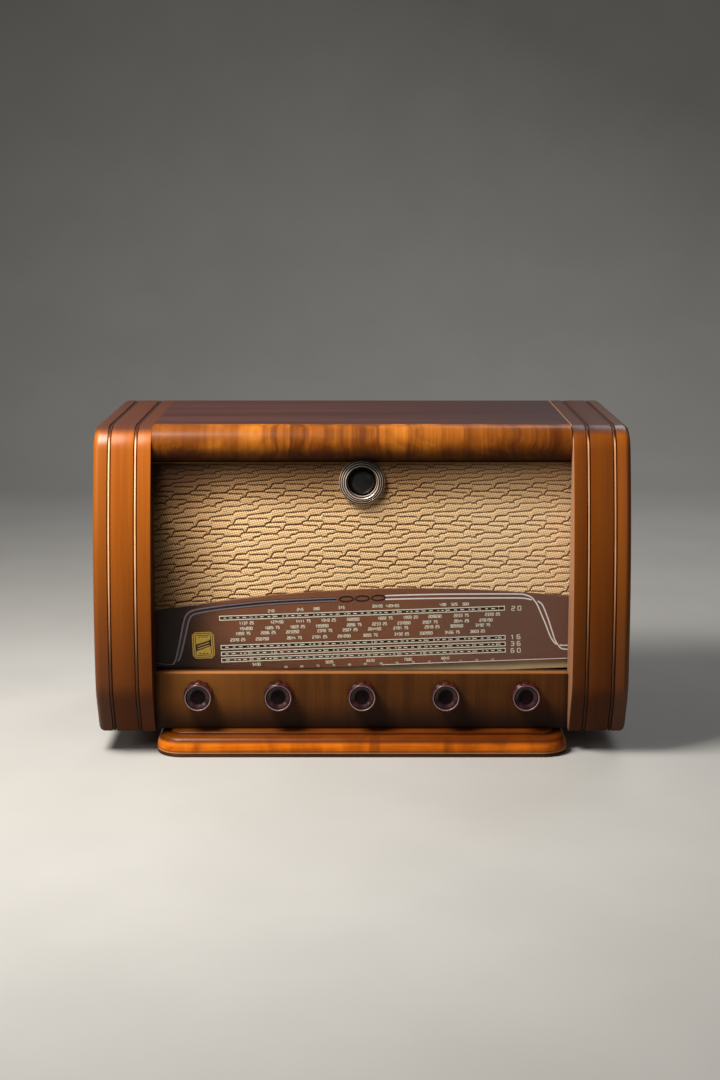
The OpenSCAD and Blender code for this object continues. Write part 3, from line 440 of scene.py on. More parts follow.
def cloth_material():
    """Ribbed cloth. An attribute says how near a point is to a sewn channel, and adds painted shade below
    channels that run level.
    """
    net = Net("speaker_cloth")
    x, y, z = net.place()
    thread_and_shade = net.node("ShaderNodeAttribute", out="Fac", attribute_name="thread_and_shade")
    rib = (x * 2500.0 + z * 900.0).sin() * 0.5 + 0.5
    pick = (z * 2700.0 - x * 700.0).sin() * 0.5 + 0.5
    speck = net.noise((x * 1000.0, 0.0, z * 1000.0), detail=2.0)
    soft = net.noise((x * 30.0, 0.0, z * 30.0), detail=2.0)
    weave = rib * 0.35 + pick * 0.35 + speck * 0.5
    yarn = ((0.25, srgb(178, 124, 72)), (0.6, srgb(242, 196, 138)), (0.95, srgb(255, 240, 196)))
    base = net.colours(weave, *yarn)
    base = net.mix((soft - 0.4) * 0.3, base, srgb(248, 208, 156))
    thread = net.mix(speck.ramp(0.35, 0.7), srgb(104, 52, 18), srgb(156, 94, 44))
    colour = net.mix((thread_and_shade + (rib - 0.5) * -0.34).ramp(0.22, 0.74), base, thread)
    # Painted light: the cloth paler towards the right.
    colour = net.mix(x.ramp(0.03, 0.17) * 0.4, colour, net.mix(0.6, colour, srgb(255, 226, 184)))
    # Painted shadow: the cloth darker under the rail and beside the left pillar, where their shadows fall.
    painted_rail_shadow = z.ramp(0.243, 0.300) * (0.82 - x.ramp(0.0, 0.15) * 0.17)
    beside = x.ramp(-0.120, -0.200) * (z.ramp(0.23, 0.28) * 0.20 + 0.62)
    painted_shadow = (painted_rail_shadow + beside - painted_rail_shadow * beside).clip()
    colour = net.mix(painted_shadow, colour, srgb(255, 232, 204), blend="MULTIPLY")
    colour = net.mix(painted_shadow, colour, srgb(46, 20, 8))
    return net.finish(
        base_color=colour, roughness=0.92, sheen_weight=0.15, sheen_roughness=0.5, specular_ior_level=0.1,
        normal=net.bump(weave, 0.6, 0.0004),
    )


def plain(name, colour, rough=0.5, metal=0.0, coat=0.0, spread=0.12, scale=60.0, grainy=0.15, brushed=None,
          shine=0.5):
    """Even finish with slight variation of colour and roughness, and brush marks along an axis if asked."""
    net = Net(name)
    x, y, z = net.place()
    cloud = net.noise((x, y, z), scale, 3.0)
    fx, fy, fz = {"x": (8, 900, 900), "y": (900, 8, 900), None: (1200, 1200, 1200)}[brushed]
    fine = net.noise((x * fx, y * fy, z * fz), detail=2.0)
    dark = tuple(v * (1 - spread) for v in colour[:3]) + (1,)
    pale = tuple(min(1, v * (1 + spread)) for v in colour[:3]) + (1,)
    tint = net.mix((cloud * 0.7 + fine * 0.3).ramp(0.3, 0.7), dark, pale)
    return net.finish(
        base_color=tint, roughness=fine * 0.12 + cloud * 0.10 + (rough - 0.11), metallic=metal,
        coat_weight=coat, coat_roughness=0.08, specular_ior_level=shine,
        normal=net.bump(fine, grainy, 0.00012),
    )


def dial_brown():
    """Enamelled sheet behind the glass, with painted shadow at its left end and lower left, and a painted
    reflection greying it towards the right.
    """
    net = Net("dial_brown")
    x, y, z = net.place()
    cloud = net.noise((x, y, z), 9.0, 2.0)
    fine = net.noise((x * 300.0, y, z * 300.0), detail=2.0)
    tone = net.mix((cloud * 0.7 + fine * 0.3).ramp(0.3, 0.7), srgb(128, 81, 56), srgb(144, 94, 67))
    # Painted reflection: greyer towards the right.
    tone = net.mix(x.ramp(0.02, 0.17) * 0.8, tone, srgb(116, 88, 76))
    # Painted shadow: darker at the left end and at the lower left.
    ends = x.ramp(-0.130, -0.195) * 0.96
    low = z.ramp(0.124, 0.098) * x.ramp(0.02, -0.15) * 0.55
    return net.finish(
        base_color=net.mix(ends + low - ends * low, tone, srgb(20, 10, 8)),
        roughness=fine * 0.1 + 0.48,
        specular_ior_level=0.1,
    )


def bezel_bronze():
    """Worn bronze, bare on the crests of the rings and tarnished in the grooves between them, with painted
    shade over its top under the rail.
    """
    net = Net("bezel_bronze")
    x, y, z = net.place()
    drop = z - EYE[1] * MM
    radius = (x * x + drop * drop).power(0.5)
    fine = net.noise((x * 900.0, y * 900.0, z * 900.0), detail=2.0)
    tarnish_and_shade = (fine - 0.5) * 0.2
    for groove in (22.9, 20.75, 18.5, 16.1):
        tarnish_and_shade = tarnish_and_shade + (1.0 - (radius - groove * MM).abs().ramp(0.0004, 0.0009))
    # Painted shade: the top of the bezel darker, under the rail.
    tarnish_and_shade = (tarnish_and_shade + z.ramp(0.291, 0.303) * 0.9).clip()
    return net.finish(
        base_color=net.mix(tarnish_and_shade, srgb(232, 206, 186), srgb(26, 17, 13)), metallic=0.55 - tarnish_and_shade * 0.4,
        roughness=tarnish_and_shade * 0.3 + fine * 0.1 + 0.27, normal=net.bump(fine, 0.06, 0.0001),
    )


def bakelite():
    """Dark mottled bakelite. The attributes "rim" and "well" mark a knob's pale rim, rubbed and with a
    painted highlight, and its dull hollow.
    """
    net = Net("bakelite")
    x, y, z = net.place()
    rim = net.node("ShaderNodeAttribute", out="Fac", attribute_name="rim")
    well = net.node("ShaderNodeAttribute", out="Fac", attribute_name="well")
    cloud = net.noise((x, y, z), 110.0, 3.0)
    tint = net.mix(cloud.ramp(0.3, 0.7), srgb(46, 13, 13), srgb(72, 26, 24))
    tint = net.mix(well, tint, net.mix(cloud.ramp(0.35, 0.65), srgb(14, 5, 7), srgb(38, 15, 20)))
    # The rim paler: rubbed bakelite, and partly a painted highlight.
    tint = net.mix(rim * 0.8, tint, srgb(206, 164, 160))
    return net.finish(
        base_color=tint, roughness=cloud * 0.08 + well * 0.35 + 0.26, specular_ior_level=0.10,
        coat_weight=(0.9 - well * 0.88).clip(), coat_roughness=0.25,
    )


def see_through(name, tint, rough=0.04, dust=0.0):
    """Thin glass: clear, with a mirror reflection that grows towards grazing angles, and a little dust."""
    net = Net(name)
    x, y, z = net.place()
    haze = net.noise((x * 22.0, y * 22.0, z * 60.0), detail=4.0, rough=0.7)
    clear = net.node("ShaderNodeBsdfTransparent", (tint,))
    front = 1.0 - net.node("ShaderNodeNewGeometry", out="Backfacing")
    shine = net.node("ShaderNodeFresnel", (1.2,)) * front
    film = (shine + haze.ramp(0.45, 0.8) * dust).clip()
    net.finish(base_color=(0.95, 0.95, 0.95, 1), roughness=haze * 0.06 + rough, metallic=1.0)
    both = net.node("ShaderNodeMixShader", (film, clear, Sig(net, net.bsdf.outputs[0])))
    net.plug(both, net.tree.nodes["Material Output"].inputs[0])
    return net.mat


def floor_material():
    """Pale to look at and in reflections, and darker for the light that it throws back."""
    net = Net("floor")
    x, y, z = net.place()
    cloud = net.noise((x, y, z), 6.0, 3.0)
    seen = 0.0
    for ray in ("Is Camera Ray", "Is Glossy Ray", "Is Transmission Ray"):
        seen = net.node("ShaderNodeLightPath", out=ray) + seen
    pale = net.mix(cloud.ramp(0.3, 0.7), srgb(170, 168, 164), srgb(174, 172, 168))
    return net.finish(
        base_color=net.mix(seen.clip(), srgb(70, 68, 66), pale),
        roughness=cloud * 0.1 + 0.70,
        specular_ior_level=0.2,
    )


def ink(name, colour, rough=0.45, spread=0.1, scale=300.0, shine=0.5):
    """Flat print without grain."""
    return plain(name, colour, rough, spread=spread, scale=scale, grainy=0.0, shine=shine)


def wooden_materials():
    return {
        "pillar": wood("pillar_walnut", *PILLAR, rough=0.42, coat=0.06, grooves=True, painted_light_and_shade=PILLAR_SHADES),
        "side": wood("side_walnut", *PILLAR, rough=0.40, coat=0.30, figure=0.15, painted_light_and_shade=SIDE_SHADES),
        "top": wood("top_walnut_shaded", *SHADED_TOP, grain="x", rough=0.42, coat=0.08, painted_light_and_shade=TOP_SHADES),
        "panel": wood(
            "panel_walnut", *PANEL, grain="z", rough=0.42, coat=0.05, wide=0.8, painted_light_and_shade=PANEL_LIGHT_AND_SHADE
        ),
        "rail": rail_wood(),
        "plinth": wood(
            "plinth_walnut", *PLINTH, grain="x", figure=0.45, rough=0.34, coat=0.08, wide=0.6,
            painted_light_and_shade=PLINTH_LIGHT_AND_SHADE
        ),
        "base": wood("base_walnut", *BASE, grain="x", rough=0.5, coat=0.1),
        "bead": bead_wood(),
        "dark_wood": wood("stained_wood", *STAINED, grain="x", rough=0.6, coat=0.1),
        "plywood": wood("plywood", *PLY, grain="x", rough=0.8, coat=0.0),
        "hardboard": plain("hardboard", srgb(104, 72, 46), 0.85, spread=0.22, scale=240.0, grainy=0.6),
    }


def dial_materials():
    return {
        "dial_glass": see_through("dial_glass", (1, 1, 1, 1), rough=0.2, dust=0.004),
        "painted_brown": dial_brown(),
        "painted_olive": plain("shield_olive", srgb(208, 184, 142), 0.6, spread=0.10, scale=30.0, shine=0.2),
        "ink": ink("print_cream", srgb(255, 242, 218), 0.6, 0.15, 500.0),
        "ink_white": ink("print_silver", srgb(250, 240, 236), spread=0.06),
        "ink_dark": ink("print_dark", srgb(38, 26, 26), shine=0.2),
        "ink_slate": ink("print_slate", srgb(128, 114, 116)),
        "ink_band": ink("print_band", srgb(50, 36, 36), shine=0.2),
        "window": ink("window_brown", srgb(78, 60, 44), 0.5, 0.25, 400.0),
        "strip": ink("scale_strip", srgb(118, 90, 66), 0.6, 0.25, 400.0),
        "gold": plain("plaque_gold", srgb(200, 166, 66), 0.42, 0.4, spread=0.25, scale=600.0, grainy=0.3),
    }


def metal_materials():
    return {
        "brass": bezel_bronze(),
        "pulley_brass": plain("pulley_brass", srgb(190, 150, 84), 0.35, metal=1.0),
        "steel": plain("bright_steel", srgb(176, 176, 172), 0.30, metal=1.0, brushed="y"),
        "plated_steel": plain("plated_steel", srgb(160, 158, 148), 0.42, metal=1.0, spread=0.2, scale=24.0),
        "aluminium": plain("aluminium", srgb(196, 196, 192), 0.38, metal=1.0, brushed="x"),
        "iron": plain("black_iron", srgb(26, 26, 28), 0.45, metal=0.3, coat=0.3),
        "painted_grey": plain("painted_grey", srgb(70, 70, 72), 0.45, grainy=0.3),
    }


def make_materials():
    """Every finish under the name of its slot, or of the piece that takes it."""
    return {
        **wooden_materials(),
        **dial_materials(),
        **metal_materials(),
        "cloth": cloth_material(),
        "bakelite": bakelite(),
        "dark_glass": plain("eye_black", srgb(14, 14, 15), 0.42, coat=0.1, spread=0.3, grainy=0.0, shine=0.3),
        "lamp_glass": plain("lamp_glass", srgb(226, 214, 178), 0.12, coat=0.8, grainy=0.0),
        "valve_glass": see_through("valve_glass", (0.82, 0.87, 0.89, 1), dust=0.1),
        "cord": plain("waxed_cord", srgb(196, 184, 150), 0.8, spread=0.25, scale=900.0, grainy=0.6),
        "paper": plain("cone_paper", srgb(30, 27, 25), 0.95, spread=0.25, scale=300.0, grainy=0.8),
        "laminate": plain("laminate", srgb(112, 66, 34), 0.5, spread=0.2, scale=200.0),
        "rubber": plain("rubber", srgb(20, 20, 20), 0.8, grainy=0.4),
        "floor": floor_material(),
    }


# Shapes

CRISP = 35.0


def make_object(name, verts, faces, material, smooth=CRISP):
    """Mesh object from points in millimetres. Edges sharper than smooth degrees stay crisp."""
    mesh = bpy.data.meshes.new(name)
    mesh.from_pydata([(x * MM, y * MM, z * MM) for x, y, z in verts], [], faces)
    work = bmesh.new()
    work.from_mesh(mesh)
    bmesh.ops.recalc_face_normals(work, faces=work.faces)
    work.to_mesh(mesh)
    work.free()
    mesh.materials.append(material)
    mesh.polygons.foreach_set("use_smooth", [True] * len(mesh.polygons))
    mesh.set_sharp_from_angle(angle=math.radians(smooth))
    obj = bpy.data.objects.new(name, mesh)
    scene.collection.objects.link(obj)
    return obj


def settle(obj, slot, *nodes, body="cabinet"):
    """The piece rides on a body and stands for these CAD nodes, which it hides; slot is not used."""
    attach(obj, body)
    if nodes:
        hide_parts(*nodes)
    return obj


def loft(name, loops, material, closed=True, caps=True, smooth=CRISP, ring=False):
    """Skin through loops of points that all have the same count."""
    count = len(loops[0])
    verts = [p for loop in loops for p in loop]
    faces = []
    rows = len(loops)
    for i in range(rows if ring else rows - 1):
        a, b = i * count, ((i + 1) % rows) * count
        for j in range(count if closed else count - 1):
            k = (j + 1) % count
            faces.append((a + j, a + k, b + k, b + j))
    if caps and not ring:
        faces.append(tuple(range(count)))
        faces.append(tuple((rows - 1) * count + j for j in reversed(range(count))))
    return make_object(name, verts, faces, material, smooth)


def lathe(name, centre, profile, material, turns=96, shape=None, smooth=32.0):
    """Turned piece about an axis along the depth. profile is (radius, depth behind centre)."""
    cx, cy, cz = centre
    loops = []
    for i in range(turns):
        a = 2 * math.pi * i / turns
        loops.append([])
        for j, (r, d) in enumerate(profile):
            if shape:
                r = shape(r, d, a)
            loops[-1].append((cx + r * math.cos(a), cy + d, cz + r * math.sin(a)))
    obj = loft(name, loops, material, closed=False, caps=False, smooth=smooth, ring=True)
    work = bmesh.new()
    work.from_mesh(obj.data)
    bmesh.ops.remove_doubles(work, verts=work.verts, dist=1e-6)
    bmesh.ops.recalc_face_normals(work, faces=work.faces)
    work.to_mesh(obj.data)
    work.free()
    return obj


def carve(obj, *cutters):
    """Cuts the cutters' shapes out of obj, then removes them."""
    for c in cutters:
        m = obj.modifiers.new("cut", "BOOLEAN")
        m.operation, m.object, m.solver = "DIFFERENCE", c, "EXACT"
    bpy.context.view_layer.update()
    seen = obj.evaluated_get(bpy.context.evaluated_depsgraph_get())
    mesh = bpy.data.meshes.new_from_object(seen)
    obj.modifiers.clear()
    obj.data = mesh
    mesh.set_sharp_from_angle(angle=math.radians(CRISP))
    for c in cutters:
        bpy.data.objects.remove(c)
    return obj


def arc(c, r, a1, a2, n):
    """Points on a circle about c, from angle a1 to a2 in n steps."""
    return [
        (c[0] + r * math.cos(math.radians(a1 + (a2 - a1) * i / n)),
         c[1] + r * math.sin(math.radians(a1 + (a2 - a1) * i / n)))
        for i in range(n + 1)
    ]


def cheek(inset, end_y):
    """The cabinet's side outline as (y, z), from the top's back edge round the front to the bottom."""
    top = TOP_Z - inset
    run = [(BACK + (CROWN[0] - BACK) * i / 12, top) for i in range(12)]
    run += arc(CROWN, CROWN_R - inset, 90, CROWN_A, 14)
    run += arc(BOW, FRONT_R - inset, CROWN_A, TOE_A, 40)[1:]
    run += arc(TOE, TOE_R - inset, TOE_A, CUT_A, 12)[1:]
    y, z = run[-1]
    low = BODY_Z + inset
    foot = y + (z - low) * math.tan(math.radians(CUT_A - 180))
    run += [(y + (foot - y) * i / 3, z + (low - z) * i / 3) for i in (1, 2, 3)]
    run.append((end_y, low))
    return run


def side_panels(mat):
    """Outer sides, flat with a rounded edge towards the front and top."""
    flat_x = OUT_X - EDGE_R
    across = [(SIDE_X, 0.0), (flat_x, 0.0)]
    for a in range(9, 91, 9):
        turn = math.radians(a)
        across.append((flat_x + EDGE_R * math.sin(turn), EDGE_R - EDGE_R * math.cos(turn)))
    for side, name in ((-1, "left_side_panel"), (1, "right_side_panel")):
        loops = [[(side * x, y, z) for y, z in cheek(inset, BACK)] for x, inset in across]
        settle(loft(name + "_veneered", loops, mat), "walnut", name)


def post_void():
    """Inner boundary of a pillar: from the foot of the post up and back to the top's back edge."""
    return [(POST, STRIP_Z * i / 12 + BODY_Z * (1 - i / 12)) for i in range(1, 13)] + [(BACK, STRIP_Z)]


def bead(name, side, middle, mat):
    """Half-round inlay that lies in a groove and follows the cheek's outline."""
    half_width, deep, rise = 1.4, 2.0, 1.9
    loops = []
    for a in range(0, 181, 20):
        x = middle - half_width * math.cos(math.radians(a))
        inset = deep - rise * math.sin(math.radians(a)) ** 0.5 if 0 < a < 180 else deep
        loops.append([(side * x, y, z) for y, z in cheek(inset, POST)])
    return loft(name, loops, mat, closed=False, caps=False, smooth=80)


def pillars(mat, bead_mat):
    """The two curved pillars, each with two grooves and the beads in them."""
    across = [(OPEN_X, 0.8), (OPEN_X + 0.15, 0.35), (OPEN_X + 0.45, 0.08), (OPEN_X + 0.9, 0.0)]
    for g in GROOVES:
        a, b = g - GROOVE_HALF, g + GROOVE_HALF
        across += [(a - 0.5, 0.0), (a - 0.12, 0.12), (a, 0.45), (a, GROOVE_DEEP), (b, GROOVE_DEEP)]
        if b < SIDE_X - 1:
            across += [(b, 0.45), (b + 0.12, 0.12), (b + 0.5, 0.0)]
    for side, hand in ((-1, "left"), (1, "right")):
        name = hand + "_pillar"
        loops = [[(side * x, y, z) for y, z in cheek(inset, POST) + post_void()] for x, inset in across]
        settle(loft(name + "_curved", loops, mat), "walnut", name)
        for k, g in enumerate(GROOVES, 1):
            settle(bead(f"{name}_bead_{k}", side, g, bead_mat), "bead", hand + "_beads")


def front_rail(mat):
    """Half-round rail under the top, notched for the eye's bezel."""
    centre = (FRONT + RAIL_SET, TOP_Z - RAIL_R)
    back_y, play, notch_y, notch_deep = centre[0] + 9.0, 0.3, FRONT + 30, 18.4
    loops = []
    for x, inset in ((-OPEN_X, 0.5), (-OPEN_X + 0.5, 0.0), (OPEN_X - 0.5, 0.0), (OPEN_X, 0.5)):
        run = arc(centre, RAIL_R - inset, 90, 270, 40)
        run += [(back_y, RAIL_LOW + inset), (back_y, TOP_Z - inset)]
        loops.append([(x, y, z) for y, z in run])
    obj = loft("front_rail_veneered", loops, mat)
    r = EYE_R + play
    bore = [(0, 0), (r, 0), (r, notch_deep), (0, notch_deep)]
    notch = lathe("notch", (EYE[0], notch_y, EYE[1]), bore, mat)
    settle(carve(obj, notch), "walnut", "front_rail")


def knob_panel(mat):
    """Panel with a rounded upper edge and a hole for each shaft."""
    edge_r, bevel, hole_r, hole_deep = 2.2, 1.0, 6, 25
    run = [(POST, BODY_Z), (POST, PANEL_TOP)]
    run += arc((PANEL_Y + edge_r, PANEL_TOP - edge_r), edge_r, 90, 180, 6)
    run += [(PANEL_Y, BODY_Z + bevel), (PANEL_Y + bevel, BODY_Z)]
    loops = [[(x, y, z) for y, z in run] for x in (-OPEN_X, OPEN_X)]
    obj = loft("knob_panel_veneered", loops, mat)
    bore = [(0, 0), (hole_r, 0), (hole_r, hole_deep), (0, hole_deep)]
    holes = [lathe(f"hole{k}", (x, PANEL_Y - 5, KNOB_Z), bore, mat, turns=32) for k, x in enumerate(KNOBS)]
    settle(carve(obj, *holes), "walnut", "knob_panel")


# The plinth's outlines from the floor up, as (inset from the foremost line, height).
BASE_EDGE = [(6.6, 0.0), (0.9, 0.0), (0.6, 0.3), (0.6, 2.4), (0.8, 2.6), (6.6, 2.6)]
PLINTH_LIP = [
    (8.0, 2.6), (2.2, 2.6), (2.2, 3.75), (0.5, 3.8), (0.3, 4.0), (0.3, 5.2), (0.45, 5.38), (0.2, 5.6),
]
ROUND_IN, ROUND_Z, ROUND_HIGH = 7.0, 5.6, 14.4
PLINTH_ROUND = [
    (ROUND_IN * (1 - math.cos(math.radians(a))), ROUND_Z + ROUND_HIGH * math.sin(math.radians(a)))
    for a in range(3, 88, 6)
]
PLINTH_STEP = [(7.3, 20.0), (15.9, 20.0), (16.0, 20.1), (16.0, 22.6), (16.4, 23.0), (24.0, 23.0)]


def rounded_slab(name, steps, mat):
    """Board with rounded corners: each step is a rounded rectangle at its height."""
    half, r, deep = 218.5, 28.0, 250.0
    front_y, back_y = FRONT + r, FRONT + deep - r
    corners = (
        ((-half + r, front_y), 180, 270), ((half - r, front_y), 270, 360),
        ((half - r, back_y), 0, 90), ((-half + r, back_y), 90, 180),
    )
    loops = []
    for inset, z in steps:
        loops.append([(x, y, z) for c, a1, a2 in corners for x, y in arc(c, r - inset, a1, a2, 14)])
    return loft(name, loops, mat)


def plinth(mat, base_mat):
    """Moulded board with a quarter-round face over a lip, the step on it and the thin base board."""
    board = PLINTH_LIP + PLINTH_ROUND + PLINTH_STEP
    settle(rounded_slab("plinth_moulded", board, mat), "walnut", "plinth")
    settle(rounded_slab("plinth_base_board", BASE_EDGE, base_mat), "dark_wood", "plinth_base")


# Loudspeaker cloth

CELL_W, CELL_H = 39.3, 38.2
CELL_X, CELL_Z = 76.1, 242.1
# Sewn channels in one repeat of the cloth: strength, and points (x, drop) in millimetres from its main step.
CHANNELS = (
    (1.0, ((-7.6, 8.2), (-6.7, 6.3), (-4.9, 5.7), (-1.9, 5.3), (-1.0, 3.6), (-0.3, 1.2), (1.2, 0.2),
           (17.5, 0.0))),
    (0.95, ((17.5, 0.0), (18.6, -1.9), (19.9, -2.9), (23.9, -3.8), (25.2, -5.8), (26.0, -7.9), (27.4, -9.2),
            (29.6, -9.5), (37.6, -9.6))),
    (0.78, ((-1.7, -9.6), (-0.6, -11.2), (0.4, -12.5), (4.0, -12.9), (19.8, -13.9), (24.1, -14.3))),
    (0.72, ((24.1, -14.3), (25.3, -16.4), (27.2, -17.4), (45.0, -17.3), (46.2, -18.4), (50.1, -18.6))),
    (0.7, ((10.8, -18.6), (11.8, -21.2), (12.8, -22.6), (30.7, -22.7), (32.7, -23.7), (38.6, -24.8),
           (39.8, -23.2))),
    (0.9, ((5.3, 12.4), (7.4, 10.9), (11.6, 10.7), (13.2, 9.3), (14.8, 8.8), (25.4, 8.9), (30.7, 9.3),
           (32.1, 11.7))),
    (0.85, ((17.5, 0.2), (19.4, 1.2), (25.4, 1.7), (33.4, 2.0), (35.4, 4.2))),
    (0.85, ((21.9, -3.4), (31.0, -3.1), (39.6, -2.8), (40.8, -0.8))),
    (0.82, ((1.2, -9.0), (2.6, -8.3), (12.7, -8.2), (20.4, -7.8), (21.6, -5.6))),
    (0.25, ((1.0, -6.1), (12.7, -6.3))),
    (0.82, ((-3.6, 5.8), (5.3, 6.1), (12.8, 6.2), (14.2, 7.3))),
    (0.8, ((0.4, 14.5), (5.4, 14.1), (6.3, 16.2))),
)
# Half widths of a channel's dark thread and of its dip, the dip's depth, and how far its painted shade and
# the dip reach below a channel that runs level.
THREAD_HALF = 0.62
DIP_HALF = 0.6
DIP_DEEP = 0.95
SHADE_LEAST, SHADE_MORE, DIP_FADE = 0.45, 0.75, 1.5
CLOTH_STEP = 0.62
CLOTH_HEM = 4.0
EYE_OPENING = 17.5


def channel_pieces():
    """The channels' straight pieces in one repeat and in its neighbours, as strength and end points."""
    reach, above = 4, 7
    for strength, points in CHANNELS:
        for di in (-1, 0, 1):
            for dj in (-1, 0, 1):
                for (x1, d1), (x2, d2) in zip(points, points[1:]):
                    ax, bx = x1 + di * CELL_W, x2 + di * CELL_W
                    az, bz = -d1 - dj * CELL_H, -d2 - dj * CELL_H
                    across = max(ax, bx) >= -reach and min(ax, bx) <= CELL_W + reach
                    if across and max(az, bz) >= -CELL_H - reach and min(az, bz) <= above:
                        yield strength, ax, az, bx, bz


def near_channels(px, pz):
    """For each point: how dark the closest channel's thread and the painted shade below a level channel make
    it, and how deep it lies under a channel's edge.
    """
    thread_and_shade = np.zeros_like(px)
    recess = np.zeros_like(px)
    for strength, ax, az, bx, bz in channel_pieces():
        ux, uz = bx - ax, bz - az
        t = np.clip(((px - ax) * ux + (pz - az) * uz) / (ux * ux + uz * uz), 0, 1)
        dist = np.hypot(px - ax - t * ux, pz - az - t * uz)
        thread_and_shade = np.maximum(thread_and_shade, strength * np.exp(-((dist / THREAD_HALF) ** 2)))
        recess = np.maximum(recess, strength * np.exp(-((dist / DIP_HALF) ** 2)))
        if abs(uz) < abs(ux):
            t = (px - ax) / ux
            gap = np.where((t >= 0) & (t <= 1), az + t * uz - pz, -1.0)
            # Painted shade below a channel that runs level.
            shade = strength * np.exp(-((gap / (SHADE_LEAST + SHADE_MORE * strength)) ** 2))
            thread_and_shade = np.maximum(thread_and_shade, np.where(gap >= 0, shade, 0.0))
            recess = np.maximum(recess, np.where(gap >= 0, strength * np.exp(-gap / DIP_FADE), 0.0))
    return thread_and_shade, recess


def cloth_sway(gx, gz, z_high):
    """How far the pattern has slipped upwards: gentle waves, a sag at the left and a pull under the rail."""
    sag, sag_from_x, slack_high, pull, pull_high = 0.00024, -10.0, 70.0, 14.0, 20.0
    rng = np.random.default_rng(7)
    slack = np.clip((z_high - gz) / slack_high, 0, 1)
    sway = sag * np.minimum(gx - sag_from_x, 0.0) ** 2 * slack
    waves = 0.0
    for _ in range(5):
        size = rng.uniform(0.2, 0.6)
        along = gx * rng.uniform(0.01, 0.06) + gz * rng.uniform(0.01, 0.05) + rng.uniform(0, 6)
        waves = waves + size * np.sin(along)
    return waves + sway + pull * np.exp((gz - z_high) / pull_high)


def speaker_cloth(mat):
    """Quilted cloth, stretched over the baffle: open round the eye and down to the dial's arch."""
    play, proud = 0.6, 0.3
    z_low, z_high = 120.0, RAIL_LOW - play
    xs = np.arange(-CLOTH_X, CLOTH_X + CLOTH_STEP / 2, CLOTH_STEP)
    gx, gz = np.meshgrid(xs, np.arange(z_low, z_high, CLOTH_STEP))
    px = np.mod(gx - CELL_X, CELL_W)
    pz = -np.mod(-(gz - CELL_Z + cloth_sway(gx, gz, z_high)), CELL_H)
    thread_and_shade, recess = near_channels(px, pz)
    gy = CLOTH_Y - proud + DIP_DEEP * np.clip(recess, 0.0, 1.0)
    arch = arch_z(gx)
    keep = (gz > arch - CLOTH_HEM) & ((gx - EYE[0]) ** 2 + (gz - EYE[1]) ** 2 > EYE_OPENING ** 2)
    index = -np.ones(gx.shape, int)
    index[keep] = np.arange(keep.sum())
    verts = np.column_stack([gx[keep], gy[keep], gz[keep]])
    corners = (index[:-1, :-1], index[:-1, 1:], index[1:, 1:], index[1:, :-1])
    full = np.all([c >= 0 for c in corners], axis=0)
    faces = np.column_stack([c[full] for c in corners])
    mesh = bpy.data.meshes.new("speaker_cloth_woven")
    mesh.from_pydata((verts * MM).tolist(), [], faces.tolist())
    mesh.polygons.foreach_set("use_smooth", [True] * len(mesh.polygons))
    layer = mesh.attributes.new("thread_and_shade", "FLOAT", "POINT")
    layer.data.foreach_set("value", thread_and_shade[keep].astype(np.float32))
    mesh.materials.append(mat)
    obj = bpy.data.objects.new("speaker_cloth_woven", mesh)
    scene.collection.objects.link(obj)
    settle(obj, "cloth", "speaker_cloth")
    area = float(full.sum()) * (CLOTH_STEP * MM) ** 2
    flat = ((xs[-1] - xs[0]) * MM, (z_high - arch.min() + CLOTH_HEM) * MM)
    min(area, flat[0] * flat[1])


# Dial

def tilt(x, z):
    """A point of the dial's own axes, as the cabinet's x and z."""
    return x * math.cos(TILT) - z * math.sin(TILT), DIAL_MID + x * math.sin(TILT) + z * math.cos(TILT)


def arch_z(gx):
    """Height of the tilted arch at the cabinet's x."""
    local = gx / math.cos(TILT)
    drop = ARCH_TOP - ARCH_R + np.sqrt(ARCH_R ** 2 - local ** 2)
    return DIAL_MID + gx * math.tan(TILT) + drop / math.cos(TILT)


def dial_outline(inset):
    """Arched upper edge over a straight lower one, as the cabinet's x and z."""
    half, low, steps = 226.0 - inset, -37.0 + inset, 60
    pts = [(-half, low), (half, low)]
    for i in range(steps + 1):
        x = half - 2 * half * i / steps
        pts.append((x, ARCH_TOP - ARCH_R + math.sqrt(ARCH_R ** 2 - x * x) - inset))
    return [tilt(x, z) for x, z in pts]


def dial_pane(mat):
    """Glass with its edges broken."""
    edge, thick = 0.35, GLASS_T - 0.1
    loops = []
    for depth, inset in ((0, edge), (edge, 0), (thick - edge, 0), (thick, edge)):
        loops.append([(x, GLASS_Y + depth, z) for x, z in dial_outline(inset)])
    settle(loft("dial_glass_pane", loops, mat), "dial_glass", "dial_glass")


